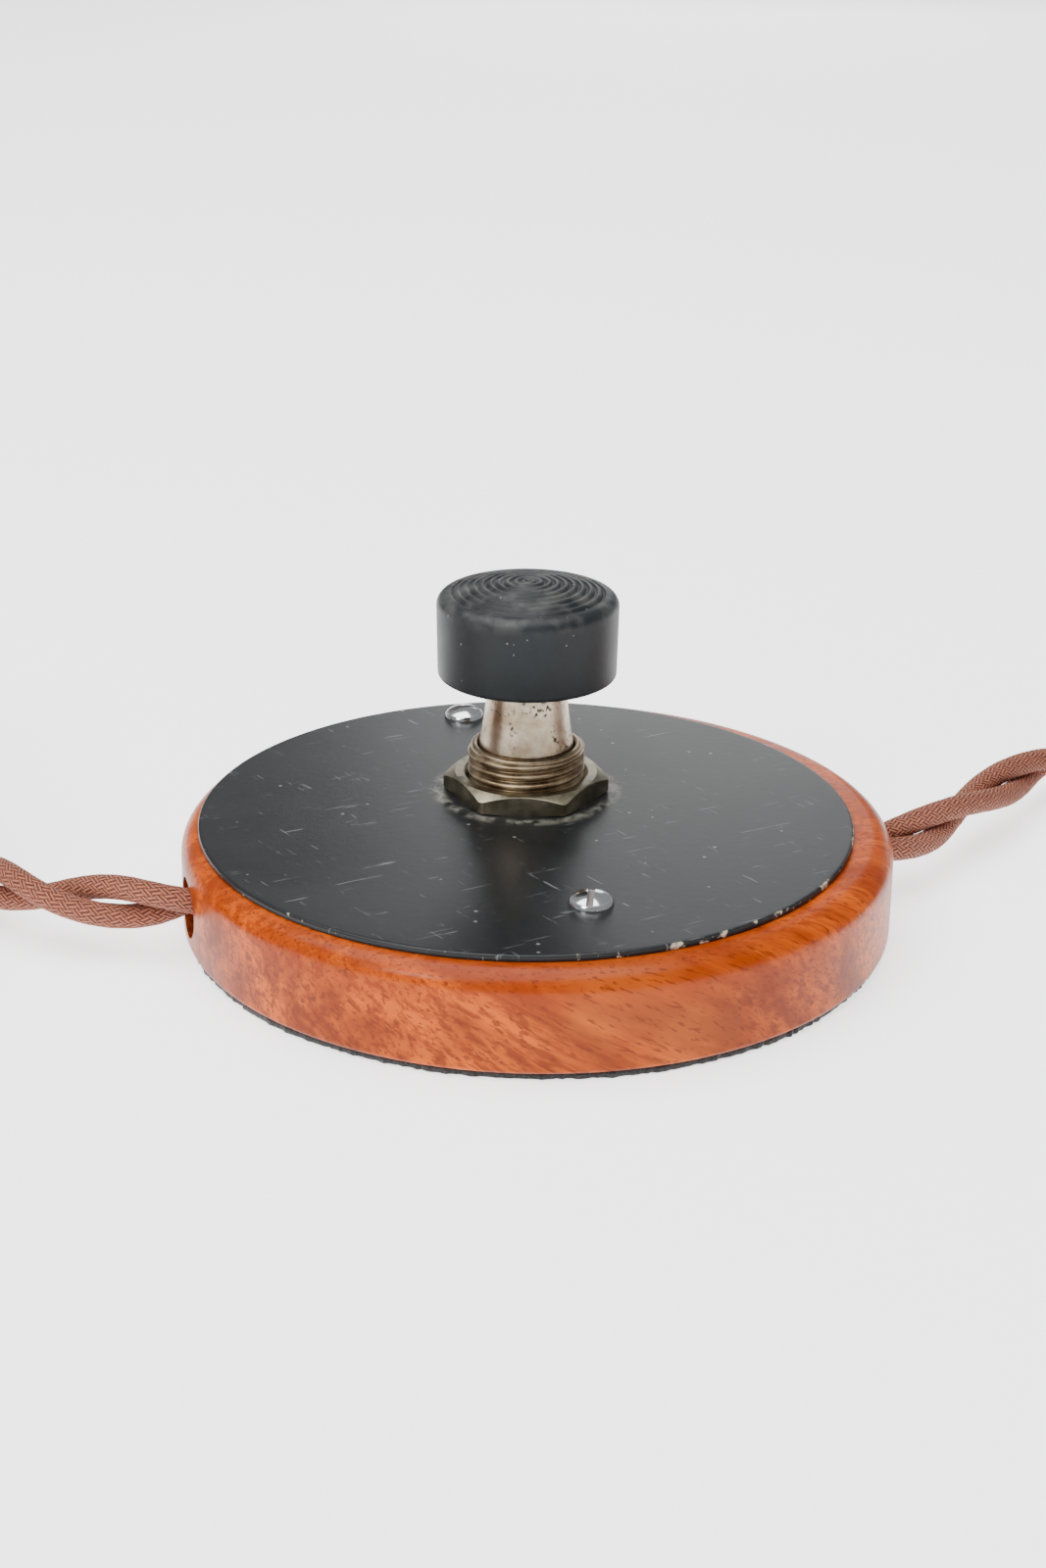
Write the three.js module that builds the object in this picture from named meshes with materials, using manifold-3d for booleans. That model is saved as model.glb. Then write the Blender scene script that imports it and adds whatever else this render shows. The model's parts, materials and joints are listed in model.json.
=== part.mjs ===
// In-line floor switch for a lamp: a turned wooden disc with a black metal top plate,
// a push button on a threaded bush, and a twisted textile cord that comes in at one
// side and leaves at the other. Millimetres, +Z up. The origin is on the floor, under
// the centre of the wooden disc; +X points along the run of the cord.

import * as THREE from 'three';
import { mergeVertices } from 'three/addons/utils/BufferGeometryUtils.js';
import Module from 'manifold-3d';

const wasm = await Module();
wasm.setup();

// ---------------------------------------------------------------- driving dimensions

const gap = 0.3;              // clearance round pieces that are fitted to each other
const fine = 56;              // sides of a large turned piece
const medium = 26;            // sides of a small turned piece
const coarse = 12;            // sides of a screw or a hole

const stroke = 4.8;           // travel of the button
const overTravel = 0.5;       // room left under the plunger when it is fully pressed
const collarPlay = 0.2;       // room over the plunger's collar when it is released

const felt = { radius: 49.3, thickness: 1.0 };

const wood = {
  radius: 50,
  height: stroke + 9.14,
  topRound: 3.0,
  bottomRound: 0.8,
  cavityRadius: 30,
  cavityX: -1.7,
  cavityY: 4.0,
};

const cover = { radius: 34.7, thickness: 1.2, screwCircle: 32.5, screwAngles: [60, 180, 300] };

const coverScrew = { headRadius: 2.0, headDepth: 1.0, shankRadius: 1.05, length: 6.0 };

const plate = { radius: 45.9, thickness: 0.9, x: -1.63, y: -0.25, edge: 0.2 };

const axis = { x: -1.7, y: 9.15 };     // the push button's own axis

const plunger = {
  radius: 6.7,
  neckRadius: 5.6,
  collarThickness: 1.24,
  boreRadius: 4.9,
  skirtRadius: 5.6,
  skirtDepth: 4.2,
  studRadius: 4.0,
  studLength: 4.2,
  roof: 3.0,
};

const bushBore = plunger.radius + 0.3;
const bushThread = bushBore + 1.4;

const nut = { acrossFlats: 2 * bushThread + 4.1, thickness: 2.9, turn: -2.5, chamfer: 1.0 };

const bush = {
  threadRadius: bushThread,
  threadDepth: 0.62,
  pitch: 1.4,
  boreRadius: bushBore,
  aboveplate: 7.3,
  flangeRadius: 14.0,
  flangeThickness: 1.2,
};

const washer = { radius: 12.4, thickness: 0.5, teeth: 12, toothDepth: 1.1 };

const can = { wall: 0.8, lip: 1.0, lipThickness: 0.6, slotWidth: 4.4, slotHeight: 4.2 };

const terminals = { thickness: 1.8 };

const cap = {
  radius: 12.85,
  footRadius: 12.7,
  aboveplate: 17.7,
  side: 10.2,
  edge: 1.7,
  dome: 1.85,
  ringCount: 9,
  ringDepth: 0.28,
  ringedRadius: 11.2,
  dimple: 0.5,
};

const pin = { radius: 1.6, headRadius: 2.8, headThickness: 0.5, length: 7.0 };

const contact = { width: 3.6, thickness: 0.5, inner: 4.0, screwAt: 10.9, outer: 12.6 };

const terminalScrew = { headRadius: 1.9, headHeight: 1.2, shankRadius: 1.1, length: 2.2 };

const bridge = { length: 16.0, width: 3.0, thickness: 0.6, lift: 0.1 };

const rotor = { radius: 5.2, thickness: 1.7, rimHeight: 1.4, rimWall: 0.65, notch: 1.6 };

const spring = { radius: 3.9, wire: 0.35, turns: 8 };

const plateScrew = {
  headRadius: 3.0,
  headHeight: 1.7,
  slotWidth: 1.0,
  slotDepth: 0.9,
  shankRadius: 1.4,
  length: 8.0,
  places: [
    { name: 'plate_screw_front', x: 6.93, y: -30.19, slotAngle: 84 },
    { name: 'plate_screw_rear', x: -11.31, y: 38.58, slotAngle: 20 },
  ],
};

const block = { length: 16, width: 7, height: 8, y: -11, boreRadius: 2.0, screwSpan: 9 };

const sleeve = { radius: 1.7, boreRadius: 0.9, length: 14 };

const blockScrew = { radius: 1.2, length: 3.2 };

const cord = { radius: 3.4, sides: 8, strandRadius: 1.3 };

const stop = { radius: cord.radius + 1.4, length: 4.0 };

// The two cord holes: the middle of each mouth in the side of the wood, the way the
// hole points outwards, its radius and its height above the floor.
const hole = { radius: cord.radius + 0.5, z: 8.05 };
const mainsAngle = 196.3;
const lampAngle = 25.0;
const mouthOut = wood.radius - 50;                       // the mouths move out with the wood
const coilOut = mouthOut + 3 * (cord.radius - 3.4);      // and the coils with the cord too
const moved = ([x, y, ...rest], angle, out) => {
  const turn = THREE.MathUtils.degToRad(angle);
  return [x + out * Math.cos(turn), y + out * Math.sin(turn), ...rest];
};
const [mainsX, mainsY] = moved([-48.0, -14.04], mainsAngle, mouthOut);
const [lampX, lampY] = moved([49.3, 8.3], lampAngle, mouthOut);
const mainsMouth = { x: mainsX, y: mainsY, angle: mainsAngle, depth: 24.0 + mouthOut };
const lampMouth = { x: lampX, y: lampY, angle: lampAngle, depth: 31.0 + mouthOut };

// The route of each free cord, from inside the cavity to where it joins its coil.
const mainsRoute = [
  [-22.7, -6.64, 8.05],
  [-30.2, -8.83, 8.05],
  [-37.9, -11.1, 8.05],
  [-45.1, -13.19, 8.05],
  [-51.8, -14.75, 8.04],
  [-57.8, -14.1, 7.95],
  [-63.5, -12.6, 7.8],
  [-67.5, -11.1, 7.65],
  [-74.8, -6.6, 7.0],
  [-79.3, -2.8, 6.3],
].map((point, i) => (i < 3 ? point : moved(point, mainsAngle, mouthOut)));
const lampRoute = [
  [18.95, -5.87, 8.05],
  [27.6, -1.83, 8.05],
  [38.4, 3.2, 8.05],
  [46.1, 6.8, 8.05],
  [52.2, 10.0, 8.0],
  [57.9, 15.2, 7.9],
  [63.4, 22.3, 7.75],
  [69.2, 30.6, 7.45],
  [74.9, 38.3, 7.0],
  [80.6, 45.4, 6.4],
  [86.4, 50.1, 5.6],
  [93.0, 53.4, 4.8],
].map((point, i) => (i < 3 ? point : moved(point, lampAngle, mouthOut)));

// The coils lie on the floor: rings of cord side by side, in layers. A tail climbs onto
// each, and ends in the plug on one and in two bare wires on the other.
const tie = { thickness: 0.7, width: 6.0 };
const [mainsCoilX, mainsCoilY] = moved([-123.5, -7.5], mainsAngle, coilOut);
const [lampCoilX, lampCoilY] = moved([120, 20.5], lampAngle, coilOut);
const mainsCoil = { x: mainsCoilX, y: mainsCoilY, rings: 2, layers: 3, outer: 37.0, tieAngle: 200 };
const lampCoil = { x: lampCoilX, y: lampCoilY, rings: 2, layers: 2, outer: 34.8, tieAngle: 350 };
const mainsTail = { from: -65, to: 60, startRadius: 30.2, endRadius: 33 };
const lampTail = { from: 108, to: 76, radius: 31.4 };

const plug = {
  length: 38,
  width: 26,
  thickness: 14,
  corner: 5,
  neck: 12,
  pinRadius: 2.0,
  pinLength: 19,
  pinSpacing: 19,
  pinRoot: 8,
  parting: 0.1,
  screwRadius: 1.5,
  screwHead: 2.6,
};

const wireEnd = { strandLength: 9, strandRadius: 1.5, ferruleRadius: 0.9, ferruleLength: 8, splay: 12 };

// ------------------------------------------------------------- heights, from the above

const woodBottom = felt.thickness;
const coverTop = woodBottom + cover.thickness;
const plateBottom = woodBottom + wood.height;
const plateTop = plateBottom + plate.thickness;
const flangeTop = plateBottom - washer.thickness;
const flangeBottom = flangeTop - bush.flangeThickness;
const collarTop = flangeBottom - collarPlay;
const collarBottom = collarTop - plunger.collarThickness;
const rotorBottom = collarBottom - stroke - overTravel;
const bridgeBottom = rotorBottom - bridge.thickness;
const contactTop = bridgeBottom - bridge.lift;
const baseTop = contactTop - contact.thickness;
const baseBottom = baseTop - terminals.thickness;
const canBottom = baseBottom - can.lipThickness;
const springSeat = rotorBottom + rotor.thickness;
const bushTop = plateTop + bush.aboveplate;
const capBottom = plateTop + cap.aboveplate;
const plungerRoof = capBottom - plunger.roof;
const coilBottom = tie.thickness + gap;
const coilTop = (coil) => coilBottom + coil.layers * 2 * cord.radius;

// ------------------------------------------------------------------------ small tools

const rad = THREE.MathUtils.degToRad;

/** Turn a profile of [radius, height] points round the Z axis. */
function turned(profile, sides) {
  const points = profile.map(([r, z]) => new THREE.Vector2(r, z));
  const geometry = new THREE.LatheGeometry(points, sides);
  geometry.rotateX(Math.PI / 2);
  return geometry;
}

/** A plain disc between two heights. */
function disc(radius, low, high, sides = coarse) {
  return turned([[0, low], [radius, low], [radius, high], [0, high]], sides);
}

/** Points of a quarter round from angle a to angle b, about (r, z). */
function arc(r, z, radius, a, b, count) {
  const points = [];
  for (let i = 0; i <= count; i += 1) {
    const angle = rad(a + ((b - a) * i) / count);
    points.push([r + radius * Math.cos(angle), z + radius * Math.sin(angle)]);
  }
  return points;
}

/** A box given by its middle and its three sides. */
function box(x, y, z, width, depth, height) {
  const geometry = new THREE.BoxGeometry(width, depth, height);
  geometry.translate(x, y, z);
  return geometry;
}

/** A flat outline raised from one height to another. */
function raised(shape, low, high, curveSegments = 8) {
  const options = { depth: high - low, bevelEnabled: false, curveSegments };
  const geometry = new THREE.ExtrudeGeometry(shape, options);
  geometry.translate(0, 0, low);
  return geometry;
}

/** A round bar from one point to another. */
function bar(from, to, radius, sides = coarse) {
  const start = new THREE.Vector3(...from);
  const end = new THREE.Vector3(...to);
  const along = end.clone().sub(start);
  const geometry = new THREE.CylinderGeometry(radius, radius, along.length(), sides);
  const turn = new THREE.Quaternion();
  turn.setFromUnitVectors(new THREE.Vector3(0, 1, 0), along.clone().normalize());
  geometry.applyQuaternion(turn);
  const middle = start.add(end).multiplyScalar(0.5);
  geometry.translate(middle.x, middle.y, middle.z);
  return geometry;
}

/** A round section carried along a smooth route. */
function swept(points, radius, sides, spacing) {
  const vectors = points.map((p) => new THREE.Vector3(...p));
  const path = new THREE.CatmullRomCurve3(vectors, false, 'centripetal');
  const shape = new THREE.Shape();
  for (let i = 0; i < sides; i += 1) {
    const angle = (2 * Math.PI * i) / sides;
    const x = radius * Math.cos(angle);
    const y = radius * Math.sin(angle);
    if (i === 0) shape.moveTo(x, y);
    else shape.lineTo(x, y);
  }
  shape.closePath();
  const steps = Math.max(2, Math.round(path.getLength() / spacing));
  return new THREE.ExtrudeGeometry(shape, { steps, bevelEnabled: false, extrudePath: path });
}

/** A closed three.js mesh as a manifold solid. */
function toSolid(geometry) {
  const plain = geometry.clone();
  plain.deleteAttribute('normal');
  plain.deleteAttribute('uv');
  const merged = mergeVertices(plain, 1e-4);
  const index = merged.index.array;
  const kept = [];
  for (let i = 0; i < index.length; i += 3) {
    const [a, b, c] = [index[i], index[i + 1], index[i + 2]];
    if (a !== b && b !== c && a !== c) kept.push(a, b, c);
  }
  const vertProperties = new Float32Array(merged.attributes.position.array);
  const triVerts = new Uint32Array(kept);
  return new wasm.Manifold(new wasm.Mesh({ numProp: 3, vertProperties, triVerts }));
}

/** A manifold solid as a three.js mesh. */
function toGeometry(solid) {
  const mesh = solid.getMesh();
  const geometry = new THREE.BufferGeometry();
  const position = new THREE.BufferAttribute(new Float32Array(mesh.vertProperties), 3);
  geometry.setAttribute('position', position);
  geometry.setIndex(new THREE.BufferAttribute(new Uint32Array(mesh.triVerts), 1));
  geometry.computeVertexNormals();
  return geometry;
}

/** A geometry with the others cut out of it. */
function cut(geometry, ...cutters) {
  let solid = toSolid(geometry);
  for (const cutter of cutters) solid = solid.subtract(toSolid(cutter));
  return toGeometry(solid);
}

/** Several geometries joined into one. */
function joined(...geometries) {
  const solids = geometries.map(toSolid);
  return toGeometry(solids.reduce((whole, next) => whole.add(next)));
}

/** What two geometries have in common. */
function shared(one, other) {
  return toGeometry(toSolid(one).intersect(toSolid(other)));
}

/** A named mesh with a material of its own. */
function mesh(name, geometry, color, roughness, metalness) {
  const material = new THREE.MeshStandardMaterial({ color, roughness, metalness });
  const made = new THREE.Mesh(geometry, material);
  made.name = name;
  return made;
}

/** A point along a cord hole, measured inwards from its mouth. */
function alongHole(mouth, depth, z = hole.z) {
  const angle = rad(mouth.angle);
  return [mouth.x - depth * Math.cos(angle), mouth.y - depth * Math.sin(angle), z];
}

// ------------------------------------------------------------------------------ wood

/** The turned disc, with the switch cavity, cover recess, cord holes and pilot holes. */
function woodBase() {
  const low = woodBottom;
  const high = plateBottom;
  const { radius, topRound, bottomRound } = wood;
  const profile = [
    [0, low],
    ...arc(radius - bottomRound, low + bottomRound, bottomRound, -90, 0, 2),
    ...arc(radius - topRound, high - topRound, topRound, 0, 90, 5),
    [0, high],
  ];
  const cavity = disc(wood.cavityRadius, low - 1, high + 1, fine);
  cavity.translate(wood.cavityX, wood.cavityY, 0);
  const recess = disc(cover.radius + gap, low - 1, coverTop, fine);
  recess.translate(wood.cavityX, wood.cavityY, 0);
  const holes = [mainsMouth, lampMouth].map((mouth) => bar(
    alongHole(mouth, -6),
    alongHole(mouth, mouth.depth),
    hole.radius,
    24,
  ));
  const pilots = plateScrew.places.map(({ x, y }) => {
    const pilot = disc(plateScrew.shankRadius + gap, plateTop - plateScrew.length - gap, high + 1, 12);
    pilot.translate(x, y, 0);
    return pilot;
  });
  const coverPilots = coverScrewPlaces().map(([x, y]) => {
    const pilot = disc(coverScrew.shankRadius + gap, low - 1, low + coverScrew.length + gap, 12);
    pilot.translate(x, y, 0);
    return pilot;
  });
  const whole = cut(turned(profile, fine), cavity, recess, ...holes, ...pilots, ...coverPilots);
  return mesh('wood_base', whole, 0xc4703f, 0.35, 0);
}

function coverScrewPlaces() {
  return cover.screwAngles.map((angle) => [
    wood.cavityX + cover.screwCircle * Math.cos(rad(angle)),
    wood.cavityY + cover.screwCircle * Math.sin(rad(angle)),
  ]);
}

function feltPad() {
  return mesh('felt_pad', disc(felt.radius, 0, felt.thickness, fine), 0x181818, 1, 0);
}

/** A countersunk screw that points upwards, and the hole that it needs. */
function coverScrewProfile(clearance) {
  const head = coverScrew.headRadius + clearance;
  const shank = coverScrew.shankRadius + clearance;
  const low = woodBottom;
  const neck = low + coverScrew.headDepth;
  return [[0, low], [head, low], [shank, neck], [shank, low + coverScrew.length], [0, low + coverScrew.length]];
}

function bottomCover() {
  const plain = disc(cover.radius, woodBottom, coverTop, fine);
  plain.translate(wood.cavityX, wood.cavityY, 0);
  const holes = coverScrewPlaces().map(([x, y]) => {
    const cutter = turned(coverScrewProfile(gap), coarse);
    cutter.translate(x, y, 0);
    return cutter;
  });
  return mesh('bottom_cover', cut(plain, ...holes), 0x2b211b, 0.8, 0);
}

function coverScrews() {
  return coverScrewPlaces().map(([x, y], i) => {
    const profile = coverScrewProfile(0);
    const screw = mesh(`cover_screw_${i + 1}`, turned(profile, coarse), 0xb9a069, 0.4, 1);
    screw.position.set(x, y, 0);
    return screw;
  });
}

// ------------------------------------------------------------------------- top plate

function topPlate() {
  const { radius, edge } = plate;
  const profile = [
    [0, plateBottom],
    [radius, plateBottom],
    [radius, plateTop - edge],
    [radius - edge, plateTop],
    [0, plateTop],
  ];
  const whole = turned(profile, fine);
  whole.translate(plate.x, plate.y, 0);
  const bushHole = disc(bush.threadRadius + gap, plateBottom - 1, plateTop + 1, medium);
  bushHole.translate(axis.x, axis.y, 0);
  const screwHoles = plateScrew.places.map(({ x, y }) => {
    const cutter = disc(plateScrew.shankRadius + gap, plateBottom - 1, plateTop + 1, coarse);
    cutter.translate(x, y, 0);
    return cutter;
  });
  return mesh('top_plate', cut(whole, bushHole, ...screwHoles), 0x2c2f31, 0.5, 0.1);
}

/** A round-headed slotted wood screw that stands on the plate. */
function plateScrews() {
  const { headRadius, headHeight, shankRadius, length } = plateScrew;
  const profile = [[0, plateTop - length], [shankRadius * 0.4, plateTop - length]];
  profile.push([shankRadius, plateTop - length + 2], [shankRadius, plateTop], [headRadius, plateTop]);
  const rise = 5;
  for (let i = 1; i < rise; i += 1) {
    const angle = rad((90 * i) / rise);
    profile.push([headRadius * Math.cos(angle), plateTop + headHeight * Math.sin(angle)]);
  }
  profile.push([0, plateTop + headHeight]);
  return plateScrew.places.map(({ name, x, y, slotAngle }) => {
    const slotMiddle = plateTop + headHeight - plateScrew.slotDepth / 2 + 0.5;
    const slot = box(0, 0, slotMiddle, 2 * headRadius + 2, plateScrew.slotWidth, plateScrew.slotDepth + 1);
    slot.rotateZ(rad(slotAngle));
    const screw = mesh(name, cut(turned(profile, 20), slot), 0xc9ccd0, 0.2, 1);
    screw.position.set(x, y, 0);
    return screw;
  });
}

// ------------------------------------------------------- the switch, on its own axis

/** The hexagon nut, its top corners chamfered, turned a little off square. */
function lockNut() {
  const corner = nut.acrossFlats / Math.sqrt(3);
  const hexagon = new THREE.Shape();
  for (let i = 0; i < 6; i += 1) {
    const angle = rad(60 * i + nut.turn);
    if (i === 0) hexagon.moveTo(corner * Math.cos(angle), corner * Math.sin(angle));
    else hexagon.lineTo(corner * Math.cos(angle), corner * Math.sin(angle));
  }
  hexagon.closePath();
  const low = plateTop;
  const high = plateTop + nut.thickness;
  const flat = nut.acrossFlats / 2;
  const blank = turned([
    [0, low],
    [corner + 0.2, low],
    [corner + 0.2, high - nut.chamfer],
    [flat, high],
    [0, high],
  ], medium);
  const inside = bush.threadRadius + gap;
  const bore = turned([
    [0, low - 1],
    [inside, low - 1],
    [inside, high - 0.5],
    [inside + 0.8, high + 0.3],
    [0, high + 0.3],
  ], medium);
  const body = shared(raised(hexagon, low, high), blank);
  return mesh('lock_nut', cut(body, bore), 0x7d7764, 0.4, 1);
}

/** The toothed washer between the bush's flange and the plate. */
function lockWasher() {
  const star = new THREE.Shape();
  for (let i = 0; i < 2 * washer.teeth; i += 1) {
    const radius = washer.radius - (i % 2) * washer.toothDepth;
    const angle = (Math.PI * i) / washer.teeth;
    if (i === 0) star.moveTo(radius, 0);
    else star.lineTo(radius * Math.cos(angle), radius * Math.sin(angle));
  }
  star.closePath();
  const round = new THREE.Path();
  round.absarc(0, 0, bush.threadRadius + gap, 0, 2 * Math.PI, true);
  star.holes.push(round);
  return mesh('lock_washer', raised(star, flangeTop, plateBottom, 16), 0x9a9a96, 0.4, 1);
}

/** The threaded bush, with the flange that closes the can. */
function threadedBush() {
  const { threadRadius, threadDepth, pitch, boreRadius } = bush;
  const rimRound = 0.5;
  const top = bushTop - rimRound;
  const profile = [[boreRadius, flangeBottom], [bush.flangeRadius, flangeBottom]];
  profile.push([bush.flangeRadius, flangeTop], [threadRadius - threadDepth, flangeTop]);
  const turns = Math.floor((top - flangeTop) / pitch);
  for (let i = 0; i < turns; i += 1) {
    const z = top - (turns - i) * pitch;
    profile.push([threadRadius - threadDepth, z], [threadRadius, z + 0.42 * pitch]);
    profile.push([threadRadius, z + 0.68 * pitch]);
  }
  profile.push([threadRadius - threadDepth, top - 0.1], [threadRadius - threadDepth, top]);
  profile.push([threadRadius - threadDepth - 0.3, bushTop], [boreRadius, bushTop]);
  profile.push([boreRadius, flangeBottom]);
  return mesh('threaded_bush', turned(profile, medium), 0x8d8068, 0.4, 1);
}

/** The metal can under the flange, with a slot each side for the leads. */
function switchCan() {
  const outer = bush.flangeRadius;
  const inner = outer - can.wall;
  const profile = [
    [inner - can.lip, canBottom],
    [outer, canBottom],
    [outer, flangeBottom],
    [inner, flangeBottom],
    [inner, baseBottom],
    [inner - can.lip, baseBottom],
    [inner - can.lip, canBottom],
  ];
  const middle = baseTop + can.slotHeight / 2;
  const slots = [-1, 1].map((side) => box(side * outer, 0, middle, 4, can.slotWidth, can.slotHeight));
  return mesh('switch_can', cut(turned(profile, medium), ...slots), 0xa8a49a, 0.4, 1);
}

/** The phenolic disc that carries the contacts. */
function terminalBase() {
  const radius = bush.flangeRadius - can.wall - gap;
  const pinHole = disc(pin.radius + gap, baseBottom - 1, baseTop + 1);
  const screwHoles = [-1, 1].map((side) => {
    const cutter = disc(terminalScrew.shankRadius + gap, baseBottom - 1, baseTop + 1, 12);
    cutter.translate(side * contact.screwAt, 0, 0);
    return cutter;
  });
  const whole = cut(disc(radius, baseBottom, baseTop, medium), pinHole, ...screwHoles);
  return mesh('terminal_base', whole, 0x3a2417, 0.4, 0);
}

/** The pin that the rotor turns on, headed under the terminal base. */
function pivotPin() {
  const low = baseBottom - pin.headThickness;
  const profile = [
    [0, low],
    [pin.headRadius, low],
    [pin.headRadius, baseBottom],
    [pin.radius, baseBottom],
    [pin.radius, baseBottom + pin.length],
    [0, baseBottom + pin.length],
  ];
  return mesh('pivot_pin', turned(profile, coarse), 0xb08d4a, 0.35, 1);
}

/** The two brass strips that the bridge joins. */
function fixedContacts() {
  return [['left', -1], ['right', 1]].map(([word, side]) => {
    const middle = (side * (contact.inner + contact.outer)) / 2;
    const length = contact.outer - contact.inner;
    const strip = box(middle, 0, baseTop + contact.thickness / 2, length, contact.width, contact.thickness);
    const bore = disc(terminalScrew.shankRadius + gap, baseTop - 1, contactTop + 1, 12);
    bore.translate(side * contact.screwAt, 0, 0);
    return mesh(`fixed_contact_${word}`, cut(strip, bore), 0xc79a4b, 0.3, 1);
  });
}

function terminalScrews() {
  const { headRadius, headHeight, shankRadius, length } = terminalScrew;
  const profile = [
    [0, contactTop - length],
    [shankRadius, contactTop - length],
    [shankRadius, contactTop],
    [headRadius, contactTop],
    [headRadius, contactTop + headHeight],
    [0, contactTop + headHeight],
  ];
  const slot = box(0, 0, contactTop + headHeight, 2 * headRadius + 1, 0.6, 1.2);
  return [['left', -1], ['right', 1]].map(([word, side]) => {
    const screw = mesh(`terminal_screw_${word}`, cut(turned(profile, coarse), slot), 0xc9b27a, 0.3, 1);
    screw.position.x = side * contact.screwAt;
    return screw;
  });
}

/** The brass bar under the rotor that joins the two fixed contacts. */
function contactBridge() {
  const middle = bridgeBottom + bridge.thickness / 2;
  const strip = box(0, 0, middle, bridge.length, bridge.width, bridge.thickness);
  const bore = disc(pin.radius + gap, bridgeBottom - 1, rotorBottom + 1);
  const eye = disc(pin.radius + 1.5, bridgeBottom, rotorBottom);
  return mesh('contact_bridge', cut(joined(strip, eye), bore), 0xd0a050, 0.3, 1);
}

/** The insulating rotor, with a notched rim that the plunger's pawl works on. */
function ratchetRotor() {
  const outer = rotor.radius;
  const inner = outer - rotor.rimWall;
  const bore = pin.radius + gap;
  const rimTop = springSeat + rotor.rimHeight;
  const profile = [
    [bore, rotorBottom],
    [outer, rotorBottom],
    [outer, rimTop],
    [inner, rimTop],
    [inner, springSeat],
    [bore, springSeat],
    [bore, rotorBottom],
  ];
  const notches = [0, 45].map((angle) => {
    const cutter = box(0, 0, rimTop, 2 * outer + 1, rotor.notch, 2);
    cutter.rotateZ(rad(angle));
    return cutter;
  });
  return mesh('ratchet_rotor', cut(turned(profile, medium), ...notches), 0x5b2f1c, 0.5, 0);
}

/** The coil spring between the rotor and the inside of the plunger. */
function returnSpring() {
  const low = springSeat + spring.wire + 0.05;
  const high = plungerRoof - spring.wire - 0.05;
  const perTurn = 9;
  const points = [];
  for (let i = 0; i <= spring.turns * perTurn; i += 1) {
    const angle = (2 * Math.PI * i) / perTurn;
    const z = low + ((high - low) * i) / (spring.turns * perTurn);
    points.push([spring.radius * Math.cos(angle), spring.radius * Math.sin(angle), z]);
  }
  const spacing = (2 * Math.PI * spring.radius) / perTurn;
  return mesh('return_spring', swept(points, spring.wire, 5, spacing), 0x9b9b98, 0.3, 1);
}

/** The nickelled plunger: a collar inside the can, a waisted neck and a stud for the cap. */
function plungerBody() {
  const { radius, neckRadius, boreRadius, skirtRadius } = plunger;
  const collarRadius = bushBore + 1.6;
  const skirtTop = collarBottom + plunger.skirtDepth;
  const profile = [
    [0, plungerRoof],
    [boreRadius, plungerRoof],
    [boreRadius, skirtTop],
    [skirtRadius, skirtTop],
    [skirtRadius, collarBottom],
    [collarRadius, collarBottom],
    [collarRadius, collarTop],
    [radius, collarTop],
  ];
  const foot = bushTop + 0.4;
  const steps = 7;
  for (let i = 0; i <= steps; i += 1) {
    const share = i / steps;
    const r = neckRadius + (radius - neckRadius) * (1 - share) ** 1.8;
    profile.push([r, foot + share * (capBottom - foot)]);
  }
  profile.push([plunger.studRadius, capBottom], [plunger.studRadius, capBottom + plunger.studLength]);
  profile.push([0, capBottom + plunger.studLength]);
  return mesh('plunger', turned(profile, medium), 0xb3a48c, 0.35, 1);
}

/** The black button cap, its domed top ringed with fine grooves. */
function buttonCap() {
  const pocket = plunger.studRadius + gap;
  const pocketTop = capBottom + plunger.studLength + gap;
  const shoulder = capBottom + cap.side;
  const rim = cap.radius - cap.edge;
  const domeFoot = shoulder + cap.edge;
  const profile = [
    [0, pocketTop],
    [pocket, pocketTop],
    [pocket, capBottom],
    [cap.footRadius - 0.5, capBottom],
    [cap.footRadius, capBottom + 0.5],
    ...arc(rim, shoulder, cap.edge, 0, 90, 5),
  ];
  const pitch = cap.ringedRadius / (cap.ringCount + 0.5);
  for (let i = cap.ringCount; i > 0; i -= 1) {
    for (const [offset, depth] of [[0.5, 0], [0, cap.ringDepth]]) {
      const r = (i + offset) * pitch;
      const z = domeFoot + cap.dome * (1 - (r / rim) ** 2) - depth;
      if (r < rim - 0.2) profile.push([r, z]);
    }
  }
  const last = 0.5 * pitch;
  profile.push([last, domeFoot + cap.dome]);
  profile.push([0, domeFoot + cap.dome - cap.dimple]);
  return mesh('button_cap', turned(profile, medium), 0x303437, 0.6, 0);
}

function switchAssembly() {
  const group = new THREE.Group();
  group.add(lockNut(), lockWasher(), threadedBush(), switchCan(), terminalBase(), pivotPin());
  group.add(...fixedContacts(), ...terminalScrews(), contactBridge(), ratchetRotor());
  group.add(returnSpring(), plungerBody(), buttonCap());
  group.position.set(axis.x, axis.y, 0);
  return group;
}

// -------------------------------------------------------- joint of the through wire

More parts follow.
